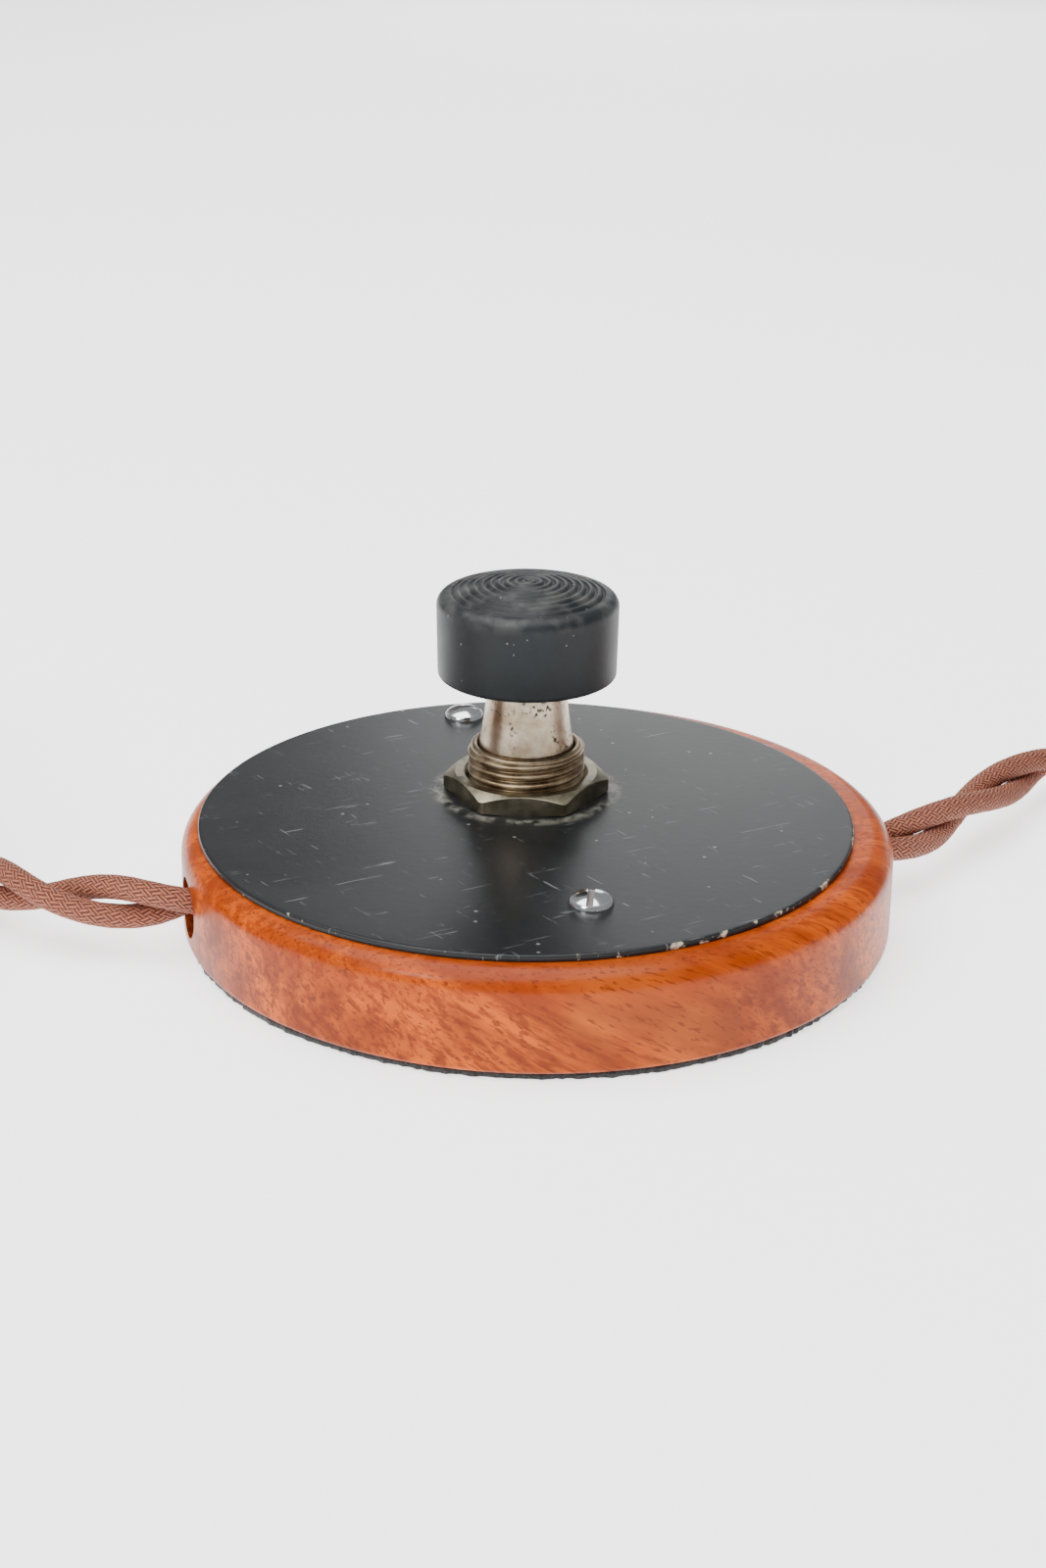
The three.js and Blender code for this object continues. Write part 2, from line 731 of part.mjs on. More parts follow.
/** The ceramic block that joins the wire which the switch doesn't break. */
function connector() {
  const z = coverTop + block.height / 2;
  const bore = bar([-block.length, 0, z], [block.length, 0, z], block.boreRadius);
  const screwAt = [-block.screwSpan / 2, block.screwSpan / 2];
  const screwBottom = z + sleeve.boreRadius * 0.4;
  const screwHoles = screwAt.map((x) => {
    const cutter = disc(blockScrew.radius + gap, z, coverTop + block.height + 1, 16);
    cutter.translate(x, 0, 0);
    return cutter;
  });
  const body = box(0, 0, z, block.length, block.width, block.height);
  const ceramic = mesh('connector_block', cut(body, bore, ...screwHoles), 0xe8e4da, 0.3, 0);
  const tube = bar([-sleeve.length / 2, 0, z], [sleeve.length / 2, 0, z], sleeve.radius);
  const tubeBore = bar([-block.length, 0, z], [block.length, 0, z], sleeve.boreRadius, 12);
  const brass = mesh('connector_sleeve', cut(tube, tubeBore, ...screwHoles), 0xc79a4b, 0.3, 1);
  const screws = screwAt.map((x, i) => {
    const stud = disc(blockScrew.radius, screwBottom, screwBottom + blockScrew.length);
    const slot = box(0, 0, screwBottom + blockScrew.length, 4, 0.5, 1.0);
    const screw = mesh(`connector_screw_${i === 0 ? 'left' : 'right'}`, cut(stud, slot), 0xb9a069, 0.4, 1);
    screw.position.x = x;
    return screw;
  });
  const group = new THREE.Group();
  group.add(ceramic, brass, ...screws);
  group.position.set(axis.x, block.y, 0);
  return group;
}

/** The four single wires inside the cavity, between the cords and their terminals. */
function leads() {
  const can = axis.x - bush.flangeRadius;
  const canRight = axis.x + bush.flangeRadius;
  const wireZ = contactTop + 1.4;
  const boreZ = coverTop + block.height / 2;
  const blockLeft = axis.x - block.length / 2;
  const blockRight = axis.x + block.length / 2;
  const upper = hole.z + 1.65;
  const lower = hole.z - 1.65;
  const routes = {
    lead_mains_live: [
      [-21.9, -6.4, upper], [-20.3, -5.6, upper], [-19.6, -3.5, upper - 0.1],
      [-19.7, 0, upper - 0.5], [-19.5, 4, upper - 1.3], [can - 2.7, 7.5, wireZ + 0.4],
      [can - 0.9, axis.y, wireZ], [can + 0.9, axis.y, wireZ],
    ],
    lead_mains_neutral: [
      [-22.0, -6.6, lower], [-18.0, -8.0, lower - 0.1], [-14.0, block.y + 0.8, boreZ],
      [blockLeft - gap, block.y, boreZ],
    ],
    lead_lamp_live: [
      [17.6, -6.5, upper], [15.7, -6.4, upper], [14.4, -4.8, upper - 0.1],
      [14.1, -1.8, upper - 0.4], [15.0, 3, upper - 1.3], [canRight + 2.6, 7.2, wireZ + 0.4],
      [canRight + 0.7, axis.y, wireZ], [canRight - 0.9, axis.y, wireZ],
    ],
    lead_lamp_neutral: [
      [17.6, -6.6, lower], [14.5, -8.6, lower - 0.1], [10.5, block.y + 0.4, boreZ],
      [blockRight + gap, block.y, boreZ],
    ],
  };
  return Object.entries(routes).map(([name, points]) => {
    const wire = swept(points, cord.strandRadius, 6, 3.2);
    return mesh(name, wire, name.includes('live') ? 0x6b3a22 : 0x3f5f86, 0.8, 0);
  });
}

/** The collar bound round each cord inside the cavity, which takes the pull. */
function cordStops() {
  return [
    ['cord_stop_mains', mainsMouth, 22.6 + mouthOut],
    ['cord_stop_lamp', lampMouth, 30.2 + mouthOut],
  ].map(
    ([name, mouth, depth]) => {
      const outside = bar(alongHole(mouth, depth), alongHole(mouth, depth + stop.length), stop.radius);
      const through = bar(
        alongHole(mouth, depth - 2),
        alongHole(mouth, depth + stop.length + 2),
        cord.radius + gap,
      );
      return mesh(name, cut(outside, through), 0xd9cfb8, 0.9, 0);
    },
  );
}

// ------------------------------------------------------------------------ free cords

/** The stretch of cord between the switch and its coil. */
function freeCord(name, route) {
  return mesh(name, swept(route, cord.radius, cord.sides, 7), 0xaf6e55, 0.9, 0);
}

/** The outer shape of a coil: a ring that all its turns fit in. */
function coilRing(name, coil) {
  const outer = coil.outer + cord.radius;
  const inner = outer - coil.rings * 2 * cord.radius;
  const top = coilTop(coil);
  const soft = 1.5;
  const profile = [
    [inner, coilBottom + soft],
    [inner + soft, coilBottom],
    [outer - soft, coilBottom],
    [outer, coilBottom + soft],
    [outer, top - soft],
    [outer - soft, top],
    [inner + soft, top],
    [inner, top - soft],
    [inner, coilBottom + soft],
  ];
  const ring = mesh(name, turned(profile, 32), 0xaf6e55, 0.9, 0);
  ring.position.set(coil.x, coil.y, 0);
  return ring;
}

/** The tie that holds a coil together: a flat band round its section. */
function coilTie(name, coil) {
  const outer = coil.outer + cord.radius + gap;
  const inner = outer - coil.rings * 2 * cord.radius - 2 * gap;
  const width = outer - inner;
  const middle = (outer + inner) / 2;
  const high = coilTop(coil) + gap + tie.thickness;
  const band = box(middle, 0, high / 2, width + 2 * tie.thickness, tie.width, high);
  const inside = box(middle, 0, high / 2, width, tie.width + 2, high - 2 * tie.thickness);
  const loop = mesh(name, cut(band, inside), 0x1c1c1c, 0.7, 0);
  loop.position.set(coil.x, coil.y, 0);
  loop.rotation.z = rad(coil.tieAngle);
  return loop;
}

/** A soft step from 0 to 1. */
function eased(share) {
  return share * share * (3 - 2 * share);
}

/** The tail that climbs from the top of the coil into the plug, where it is clear of the coil. */
function mainsTailCord() {
  const count = 24;
  const low = coilTop(mainsCoil) - cord.radius;
  const clear = coilTop(mainsCoil) + gap + cord.radius;
  const points = [];
  for (let i = 0; i <= count; i += 1) {
    const share = i / count;
    const angle = rad(mainsTail.from + share * (mainsTail.to - mainsTail.from));
    const radius = mainsTail.startRadius + eased(share) * (mainsTail.endRadius - mainsTail.startRadius);
    const z = low + eased(share) * (plugMiddle() - low);
    const point = [mainsCoil.x + radius * Math.cos(angle), mainsCoil.y + radius * Math.sin(angle), z];
    if (z > clear) points.push(point);
  }
  return mesh('mains_tail', swept(points, cord.radius, cord.sides, 3), 0xaf6e55, 0.9, 0);
}

/** The last of the lamp cord, which lies on top of its coil. */
function lampTailCord() {
  const count = 8;
  const z = coilTop(lampCoil) + gap + cord.radius;
  const points = [];
  for (let i = 0; i <= count; i += 1) {
    const angle = rad(lampTail.from + (i / count) * (lampTail.to - lampTail.from));
    const x = lampCoil.x + lampTail.radius * Math.cos(angle);
    points.push([x, lampCoil.y + lampTail.radius * Math.sin(angle), z]);
  }
  return mesh('lamp_tail', swept(points, cord.radius, cord.sides, 4), 0xaf6e55, 0.9, 0);
}

/** The two bare ends of the lamp cord, each with a ferrule. */
function lampWireEnds() {
  const group = new THREE.Group();
  const { strandLength, strandRadius, ferruleRadius, ferruleLength, splay } = wireEnd;
  const profile = [
    [0, 0],
    [strandRadius, 0],
    [strandRadius, strandLength],
    [ferruleRadius, strandLength],
    [ferruleRadius, strandLength + ferruleLength],
    [0, strandLength + ferruleLength],
  ];
  for (const [i, side] of [-1, 1].entries()) {
    const wire = turned(profile, 12);
    wire.rotateX(-Math.PI / 2);
    wire.rotateZ(rad(side * splay));
    wire.translate(-side * (strandRadius + gap), gap, 0);
    group.add(mesh(`lamp_wire_end_${i + 1}`, wire, 0xaf6e55, 0.8, 0.1));
  }
  const angle = rad(lampTail.to);
  const x = lampCoil.x + lampTail.radius * Math.cos(angle);
  const y = lampCoil.y + lampTail.radius * Math.sin(angle);
  const heading = angle - Math.PI / 2;
  const z = coilTop(lampCoil) + gap + cord.radius;
  group.position.set(x + gap * Math.cos(heading), y + gap * Math.sin(heading), z);
  group.rotation.z = heading - Math.PI / 2;
  return group;
}

// ------------------------------------------------------------------------------ plug

function plugMiddle() {
  return coilTop(mainsCoil) + gap + plug.thickness / 2;
}

/** The plug's outline, seen from above: the cord's end at y = 0, the pins' end at y = length. */
function plugOutline() {
  const half = plug.width / 2;
  const neck = plug.neck / 2;
  const { corner, length } = plug;
  const outline = new THREE.Shape();
  outline.moveTo(-neck, 0);
  outline.lineTo(neck, 0);
  outline.quadraticCurveTo(neck + 1, 9, half, 15);
  outline.lineTo(half, length - corner);
  outline.quadraticCurveTo(half, length, half - corner, length);
  outline.lineTo(-half + corner, length);
  outline.quadraticCurveTo(-half, length, -half, length - corner);
  outline.lineTo(-half, 15);
  outline.quadraticCurveTo(-neck - 1, 9, -neck, 0);
  return outline;
}

/** A generic two-pin plug: two shells, a screw and two pins, lying flat on the coil. */
function plugAssembly() {
  const half = plug.thickness / 2;
  const pinX = plug.pinSpacing / 2;
  const pinStart = plug.length - plug.pinRoot;
  const pinEnd = plug.length + plug.pinLength;
  const pinSlots = [-pinX, pinX].map((x) => bar(
    [x, pinStart - gap, 0],
    [x, pinEnd, 0],
    plug.pinRadius + gap,
    16,
  ));
  const cordSlot = bar([0, -2, 0], [0, plug.pinRoot, 0], cord.radius + gap, 16);
  const room = box(0, plug.length / 2 + 2, 0, 8, 14, 6);
  const screwY = plug.length / 2 + 12;
  const sunk = plug.screwHead - plug.screwRadius;
  const screwProfile = (clearance) => [
    [0, -half + 2 - clearance],
    [plug.screwRadius + clearance, -half + 2 - clearance],
    [plug.screwRadius + clearance, half - sunk],
    [plug.screwHead + clearance, half],
    [0, half],
  ];
  const screwHole = turned(screwProfile(gap), 16);
  screwHole.translate(0, screwY, 0);
  const cuts = [...pinSlots, cordSlot, room, screwHole];
  const lower = cut(raised(plugOutline(), -half, -plug.parting / 2, 4), ...cuts);
  const upper = cut(raised(plugOutline(), plug.parting / 2, half, 4), ...cuts);
  const screw = mesh('plug_screw', turned(screwProfile(0), 16), 0xb9a069, 0.4, 1);
  screw.position.y = screwY;
  const group = new THREE.Group();
  group.add(mesh('plug_shell_lower', lower, 0x1b1a19, 0.4, 0));
  group.add(mesh('plug_shell_upper', upper, 0x1b1a19, 0.4, 0), screw);
  for (const [word, x] of [['left', -pinX], ['right', pinX]]) {
    const rod = bar([x, pinStart, 0], [x, pinEnd, 0], plug.pinRadius, 16);
    group.add(mesh(`plug_pin_${word}`, rod, 0xc9b27a, 0.3, 1));
  }
  const angle = rad(mainsTail.to);
  const heading = angle + Math.PI / 2;
  const x = mainsCoil.x + mainsTail.endRadius * Math.cos(angle);
  const y = mainsCoil.y + mainsTail.endRadius * Math.sin(angle);
  group.position.set(x + gap * Math.cos(heading), y + gap * Math.sin(heading), plugMiddle());
  group.rotation.z = heading - Math.PI / 2;
  return group;
}

// ------------------------------------------------------------------------- the object

const object = new THREE.Group();
object.add(woodBase(), feltPad(), bottomCover(), ...coverScrews(), topPlate(), ...plateScrews());
object.add(switchAssembly(), connector(), ...leads(), ...cordStops());
object.add(freeCord('mains_cord', mainsRoute), coilRing('mains_coil', mainsCoil));
object.add(coilTie('mains_coil_tie', mainsCoil), mainsTailCord(), plugAssembly());
object.add(freeCord('lamp_cord', lampRoute), coilRing('lamp_coil', lampCoil));
object.add(coilTie('lamp_coil_tie', lampCoil), lampTailCord(), lampWireEnds());

export default object;
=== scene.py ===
# %% [markdown]
# # A floor switch on a wooden disc
#
# A foot switch for a lamp: a turned disc of lacquered hardwood stands on felt, a black
# enamelled plate covers it, and a push button stands on a nickel bush in the plate. A
# twisted, braided cord enters on one side and leaves on the other.
#
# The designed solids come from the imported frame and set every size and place. The hidden
# ones are kept and get finishes; each visible one is replaced by a finer surface.

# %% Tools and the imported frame
import json
import math

import bmesh
import bpy
import numpy as np
from mathutils import Matrix, Vector

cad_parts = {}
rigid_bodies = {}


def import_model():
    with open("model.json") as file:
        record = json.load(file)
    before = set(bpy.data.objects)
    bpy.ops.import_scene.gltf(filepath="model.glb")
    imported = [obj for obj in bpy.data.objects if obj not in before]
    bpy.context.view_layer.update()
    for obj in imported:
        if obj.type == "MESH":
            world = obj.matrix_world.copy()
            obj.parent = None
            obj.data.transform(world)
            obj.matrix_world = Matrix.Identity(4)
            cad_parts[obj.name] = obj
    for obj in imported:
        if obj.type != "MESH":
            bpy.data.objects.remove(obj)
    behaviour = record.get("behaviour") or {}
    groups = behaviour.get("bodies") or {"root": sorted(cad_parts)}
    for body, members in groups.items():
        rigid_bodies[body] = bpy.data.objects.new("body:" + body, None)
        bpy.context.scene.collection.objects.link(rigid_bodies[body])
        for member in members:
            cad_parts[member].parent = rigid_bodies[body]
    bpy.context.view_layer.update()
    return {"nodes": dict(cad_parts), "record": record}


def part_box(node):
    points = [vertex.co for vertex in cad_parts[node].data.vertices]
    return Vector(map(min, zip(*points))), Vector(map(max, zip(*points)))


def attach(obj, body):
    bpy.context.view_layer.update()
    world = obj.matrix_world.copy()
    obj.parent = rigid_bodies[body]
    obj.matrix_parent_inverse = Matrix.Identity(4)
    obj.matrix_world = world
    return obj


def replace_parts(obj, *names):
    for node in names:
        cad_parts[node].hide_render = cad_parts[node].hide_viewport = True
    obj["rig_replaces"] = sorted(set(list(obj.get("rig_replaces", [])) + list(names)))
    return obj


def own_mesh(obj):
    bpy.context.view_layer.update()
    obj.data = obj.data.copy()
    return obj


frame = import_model()

MM = 0.001
rng = np.random.default_rng(7)


# %% [markdown]
# ## The camera
#
# A still-life this small is taken from near the table, looking down a little. The camera
# could be turned with a constraint; here it is worked out from an elevation, a distance
# and a target, which say plainly where it stands, and rolled as if its tripod leant.

# %% Camera
def new_object(name, data):
    """An object in the scene, with the given mesh, light or camera."""
    made = bpy.data.objects.new(name, data)
    bpy.context.scene.collection.objects.link(made)
    return made


ELEVATION = math.radians(22.064)
DISTANCE = 0.370
ROLL = math.radians(0.634)
TARGET = Vector((-0.00211, 0.0, 0.02028))

back = Vector((0.0, -math.cos(ELEVATION), math.sin(ELEVATION)))
level_right = Vector((1.0, 0.0, 0.0))
level_up = back.cross(level_right)
cam_right = math.cos(ROLL) * level_right + math.sin(ROLL) * level_up
cam_up = -math.sin(ROLL) * level_right + math.cos(ROLL) * level_up
cam_place = TARGET + DISTANCE * back

cam_data = bpy.data.cameras.new("camera")
cam_data.lens = 60.55
cam_data.sensor_width = 36.0
cam_data.sensor_fit = "AUTO"
camera = new_object("camera", cam_data)
axes = Matrix((cam_right, cam_up, back)).transposed().to_4x4()
camera.matrix_world = Matrix.Translation(cam_place) @ axes
bpy.context.scene.camera = camera
print("camera at", [round(v, 4) for v in cam_place])


# %% [markdown]
# ## Surfaces from grids
#
# Nearly every piece was turned, pressed or wound, so it can be a grid: one parameter
# runs along a profile and the other round it. Working out the whole grid with numpy
# makes a clean mesh of quads, where primitives and booleans would leave messy ones.

# %% Grid helper
def grid_piece(name, points, close_rows=False, uv=None):
    """Make a mesh from an array of shape (rows, columns, 3).

    Each column joins the next and the last joins the first; so do the rows, when
    close_rows is set. Rows that run up the outside, with columns going anticlockwise
    seen from above, face outwards.
    """
    rows, columns = points.shape[:2]
    last = rows if close_rows else rows - 1
    i, j = np.meshgrid(np.arange(last), np.arange(columns), indexing="ij")
    up = (i + 1) % rows
    right = (j + 1) % columns
    corners = [i * columns + j, i * columns + right, up * columns + right, up * columns + j]
    quads = np.stack(corners, axis=-1)
    mesh = bpy.data.meshes.new(name)
    mesh.from_pydata(points.reshape(-1, 3), [], quads.reshape(-1, 4).tolist())
    if uv is not None:
        along, around = uv
        layer = mesh.uv_layers.new(name="UVMap")
        u = np.stack([along[i], along[i], along[up], along[up]], axis=-1)
        v = np.stack([around[j], around[j] + around[1], around[j] + around[1], around[j]], axis=-1)
        layer.data.foreach_set("uv", np.stack([u, v], axis=-1).astype(np.float32).ravel())
    return new_object(name, mesh)


def shade(piece, sharp_degrees):
    """Shade smooth, except over edges sharper than an angle."""
    piece.data.polygons.foreach_set("use_smooth", np.ones(len(piece.data.polygons), bool))
    piece.data.set_sharp_from_angle(angle=math.radians(sharp_degrees))


def finished(piece, sharp_degrees=35.0, turn_outwards=False):
    """Merge the points that meet at a pole, and shade smooth except over sharp edges."""
    work = bmesh.new()
    work.from_mesh(piece.data)
    bmesh.ops.remove_doubles(work, verts=work.verts, dist=1e-7)
    if turn_outwards:
        bmesh.ops.recalc_face_normals(work, faces=work.faces)
    work.to_mesh(piece.data)
    work.free()
    shade(piece, sharp_degrees)
    print(piece.name, len(piece.data.polygons), "faces")
    return piece


def unit(vectors):
    """Each vector, at length one."""
    return vectors / np.linalg.norm(vectors, axis=-1, keepdims=True)


def full_turn(count):
    """Evenly spaced angles, once round."""
    return np.linspace(0, 2 * math.pi, count, endpoint=False)


def round_axis(centre, radius, angle, height):
    """Points at a radius, an angle and a height about an upright axis."""
    x = centre[0] + radius * np.cos(angle)
    y = centre[1] + radius * np.sin(angle)
    return np.stack([x, y, np.broadcast_to(height, x.shape)], axis=-1)


def arc(radius, height, edge, steps):
    """A quarter circle of (radius, height) pairs, from straight out to straight up."""
    return [(radius - edge + edge * math.cos(a), height - edge + edge * math.sin(a))
            for a in np.linspace(0, math.pi / 2, steps)]


def rounded(corners, radius, steps=5):
    """Round each inner corner of an open profile.

    Each gives way to B(t) = (1-t)^2 A + 2t(1-t) corner + t^2 C, which is close to an arc.
    """
    corners = np.asarray(corners, float)
    kept = [corners[0]]
    for before, corner, after in zip(corners[:-2], corners[1:-1], corners[2:]):
        reach_in = min(radius, 0.45 * np.linalg.norm(before - corner))
        reach_out = min(radius, 0.45 * np.linalg.norm(after - corner))
        start = corner + reach_in * unit(before - corner)
        end = corner + reach_out * unit(after - corner)
        t = np.linspace(0, 1, steps)[:, None]
        kept.extend((1 - t) ** 2 * start + 2 * t * (1 - t) * corner + t ** 2 * end)
    kept.append(corners[-1])
    return np.array(kept)


def turned(name, profile, centre, columns=128, close_rows=False):
    """Turn a profile of (radius, height) pairs about an upright axis.

    P(i, j) = centre + r_i (cos a_j, sin a_j) + z_i up, with a_j going once round.
    centre is one (x, y), or one for each row, which lets a hole sit off-centre.
    """
    profile = np.asarray(profile, float)
    centre = np.broadcast_to(np.asarray(centre, float), (len(profile), 2))
    radius, height = profile.T[..., None]
    points = round_axis(centre.T[..., None], radius, full_turn(columns), height)
    return finished(grid_piece(name, points, close_rows))


def middle(node):
    """The middle of a designed solid, seen from above, and its lowest and highest z."""
    low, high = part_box(node)
    return ((low.x + high.x) / 2, (low.y + high.y) / 2), low.z, high.z


def half_width(node):
    """Half of a designed solid's size along x, which for a round one is its radius."""
    low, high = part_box(node)
    return (high.x - low.x) / 2


def paint(target, material):
    """Give a piece, or a designed solid by name, one material."""
    obj = bpy.data.objects[target] if isinstance(target, str) else target
    obj.data.materials.clear()
    obj.data.materials.append(material)


def take_place(piece, node, body, material):
    """Let a piece stand for a designed solid, on its body and with its slot's material."""
    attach(piece, body)
    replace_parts(piece, node)
    paint(piece, material)


# %% [markdown]
# ## The cords
#
# Each cord is two insulated wires, braided over and twisted together. They could be
# curves with a bevel, but a swept mesh carries its length and girth as a UV map, which
# the braid needs. A route is a short list of places, then a coil worked out by the turn.

# %% Cord routes
CORD_RADIUS = 3.4 * MM
STRAND_RADIUS = 1.72 * MM
COIL_FLOOR = 4.4 * MM
LAYER_RISE = 6.8 * MM

MAINS_ROUTE = np.array([
    [-22.7, -6.64, 8.05],
    [-30.2, -8.83, 8.05],
    [-37.9, -11.1, 8.05],
    [-45.1, -13.19, 8.05],
    [-51.8, -14.75, 8.04],
    [-57.8, -14.1, 7.95],
    [-63.5, -12.6, 7.8],
    [-67.5, -11.1, 7.65],
    [-74.8, -6.6, 7.0],
    [-79.3, -2.8, 6.3],
    [-86.2, 4.6, 5.1],
    [-91.2, 11.0, 4.6],
]) * MM

LAMP_ROUTE = np.array([
    [18.95, -5.87, 8.05],
    [27.6, -1.83, 8.05],
    [38.4, 3.2, 8.05],
    [46.1, 6.8, 8.05],
    [52.2, 10.0, 8.0],
    [57.9, 15.2, 7.9],
    [63.4, 22.3, 7.75],
    [69.2, 30.6, 7.45],
    [74.9, 38.3, 7.0],
    [80.6, 45.4, 6.4],
    [86.4, 50.1, 5.6],
    [93.0, 53.4, 4.8],
    [101.0, 55.3, 4.4],
    [109.5, 55.7, 4.4],
]) * MM


def eased(share):
    """A soft step from 0 to 1, 3s^2 - 2s^3."""
    share = np.clip(share, 0, 1)
    return share * share * (3 - 2 * share)


def coil(centre, start, sweep, radii, hand):
    """A wound coil: whole turns at each radius and height, eased from one to the next.

    sweep is the angle wound, hand +1 for anticlockwise. radii lists (radius, height) a
    turn; in the last part of each turn both ease to the next.
    """
    step, part = math.radians(4), 0.4
    wound = np.arange(0, sweep, step)
    turn = np.minimum((wound / (2 * math.pi)).astype(int), len(radii) - 1)
    following = np.minimum(turn + 1, len(radii) - 1)
    radii = np.array(radii)
    share = wound / (2 * math.pi) - turn
    blend = eased((share - 1 + part) / part)[:, None]
    r, z = ((1 - blend) * radii[turn] + blend * radii[following]).T
    return round_axis(centre, r, start + hand * wound, z)


def arc_over(centre, start, end, radius, height, count=24):
    """An arc whose radius and height each ease between two values."""
    share = np.linspace(0, 1, count)
    angle = start + share * (end - start)
    r = radius[0] + eased(share) * (radius[1] - radius[0])
    z = height[0] + eased(share) * (height[1] - height[0])
    return round_axis(centre, r, angle, z)


def smooth_route(points, step=0.7 * MM):
    """A cubic through the points, each tangent set by its neighbours, stepped evenly.

    Between two points it is the Hermite cubic h(t) with centripetal knots; the result
    is measured along and sampled again at equal lengths.
    """
    gaps = np.linalg.norm(np.diff(points, axis=0), axis=1) ** 0.5
    knots = np.concatenate([[0], np.cumsum(gaps)])
    slope = np.gradient(points, knots, axis=0)
    fine = np.linspace(0, knots[-1], 30 * len(points))
    k = np.clip(np.searchsorted(knots, fine, side="right") - 1, 0, len(gaps) - 1)
    t = ((fine - knots[k]) / gaps[k])[:, None]
    a, b = points[k], points[k + 1]
    ma, mb = slope[k] * gaps[k, None], slope[k + 1] * gaps[k, None]
    curve = (2 * t**3 - 3 * t**2 + 1) * a + (t**3 - 2 * t**2 + t) * ma
    curve = curve + (3 * t**2 - 2 * t**3) * b + (t**3 - t**2) * mb
    along = np.concatenate([[0], np.cumsum(np.linalg.norm(np.diff(curve, axis=0), axis=1))])
    even = np.linspace(0, along[-1], int(along[-1] / step))
    return np.stack([np.interp(even, along, curve[:, axis]) for axis in range(3)], axis=-1), along[-1]


def layered(outer, inner, layers):
    """(radius, height) of each turn: in along one layer, out along the next."""
    orders = ((outer, inner), (inner, outer))
    return [(radius, COIL_FLOOR + layer * LAYER_RISE)
            for layer in range(layers) for radius in orders[layer % 2]]


MAINS_OUTER, MAINS_INNER, PLUG_RADIUS = 37.0 * MM, 30.2 * MM, 33 * MM
LAMP_OUTER, LAMP_INNER, LAMP_LIE = 34.8 * MM, 28.0 * MM, 31.4 * MM
PLUG_WAY = math.radians(150)

mains_centre = middle("mains_coil")[0]
mains_turns = layered(MAINS_OUTER, MAINS_INNER, 3)
mains_wound = coil(mains_centre, math.radians(42), math.radians(5 * 360 + 253), mains_turns, 1)
plug_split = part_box("plug_shell_lower")[1].z
mains_climb = arc_over(mains_centre, math.radians(-65), math.radians(60),
                       (MAINS_INNER, PLUG_RADIUS), (mains_turns[-1][1], plug_split))
plug_aim = [math.cos(PLUG_WAY), math.sin(PLUG_WAY), 0]
into_plug = mains_climb[-1] + np.outer([3, 6.5], plug_aim) * MM
mains_points = np.concatenate([MAINS_ROUTE, mains_wound, mains_climb, into_plug])
mains_path, mains_length = smooth_route(mains_points)

lamp_centre, _, lamp_top = middle("lamp_coil")
lamp_turns = layered(LAMP_OUTER, LAMP_INNER, 2)
lamp_wound = coil(lamp_centre, math.radians(95), math.radians(3 * 360 + 287), lamp_turns, -1)
lamp_rest = lamp_top + 0.3 * MM + CORD_RADIUS
lamp_climb = arc_over(lamp_centre, math.radians(168), math.radians(108),
                      (LAMP_OUTER, LAMP_LIE), (lamp_turns[-1][1], lamp_rest))
lamp_end = arc_over(lamp_centre, math.radians(104), math.radians(76),
                    (LAMP_LIE, LAMP_LIE), (lamp_rest, lamp_rest), 8)
lamp_points = np.concatenate([LAMP_ROUTE, lamp_wound, lamp_climb, lamp_end])
lamp_path, lamp_length = smooth_route(lamp_points)
print("mains cord", round(mains_length, 3), "m, lamp cord", round(lamp_length, 3), "m")


# %% Tube and twisted pair
LOOSE_LENGTH = 85 * MM
TIGHTENING = 30 * MM
TIGHT_SPREAD = 1.7 * MM


def tube_rows(centre, away, radius, around):
    """Circles round a line, the ends drawn in to a point.

    The circle at each place lies square to the line: centre + radius (cos t out - sin t
    across), where out is the given direction made square to the line.
    """
    run = unit(np.gradient(centre, axis=0))
    across = unit(np.cross(run, away))
    outward = np.cross(across, run)
    turn = full_turn(around)[None, :, None]
    circle = outward[:, None] * np.cos(turn) - across[:, None] * np.sin(turn)
    ends = [np.repeat(centre[[i], None], around, 1) for i in (0, -1)]
    return np.concatenate([ends[0], centre[:, None] + radius * circle, ends[1]])


def closed_tube(piece):
    """A tube's ends merge each to its point, and no edge of it is sharp."""
    return finished(piece, 180.0, turn_outwards=True)


def twisted_pair(name, path, phase, twist, loose, around=14):
    """Two round strands wound about a path as a right-handed pair.

    Strand centre = path + d (cos w up + sin w side), w = phase + 2 pi s / twist, and the
    second strand is half a turn on. Near the exit d is the given loose value.
    """
    step = np.linalg.norm(np.diff(path, axis=0), axis=1)
    s = np.concatenate([[0], np.cumsum(step)])
    forward = unit(np.gradient(path, axis=0))
    side = unit(np.cross(forward, [0.0, 0.0, 1.0]))
    rise = np.cross(side, forward)
    tight = eased((s - LOOSE_LENGTH) / TIGHTENING)
    spread = loose * (1 - tight) + TIGHT_SPREAD * tight
    meshes = []
    girth = np.linspace(0, 1, around, endpoint=False)
    for half in (0.0, math.pi):
        wind = phase + 2 * math.pi * s / twist + half
        away = np.cos(wind)[:, None] * rise + np.sin(wind)[:, None] * side
        centre = path + spread[:, None] * away
        points = tube_rows(centre, away, STRAND_RADIUS, around)
        length = np.concatenate([s[:1], s, s[-1:]])
        meshes.append(grid_piece(f"{name}_strand", points, uv=(length, girth)))
    pair, other = meshes
    with bpy.context.temp_override(active_object=pair, selected_editable_objects=[pair, other]):
        bpy.ops.object.join()
    pair.name = name
    return closed_tube(pair)


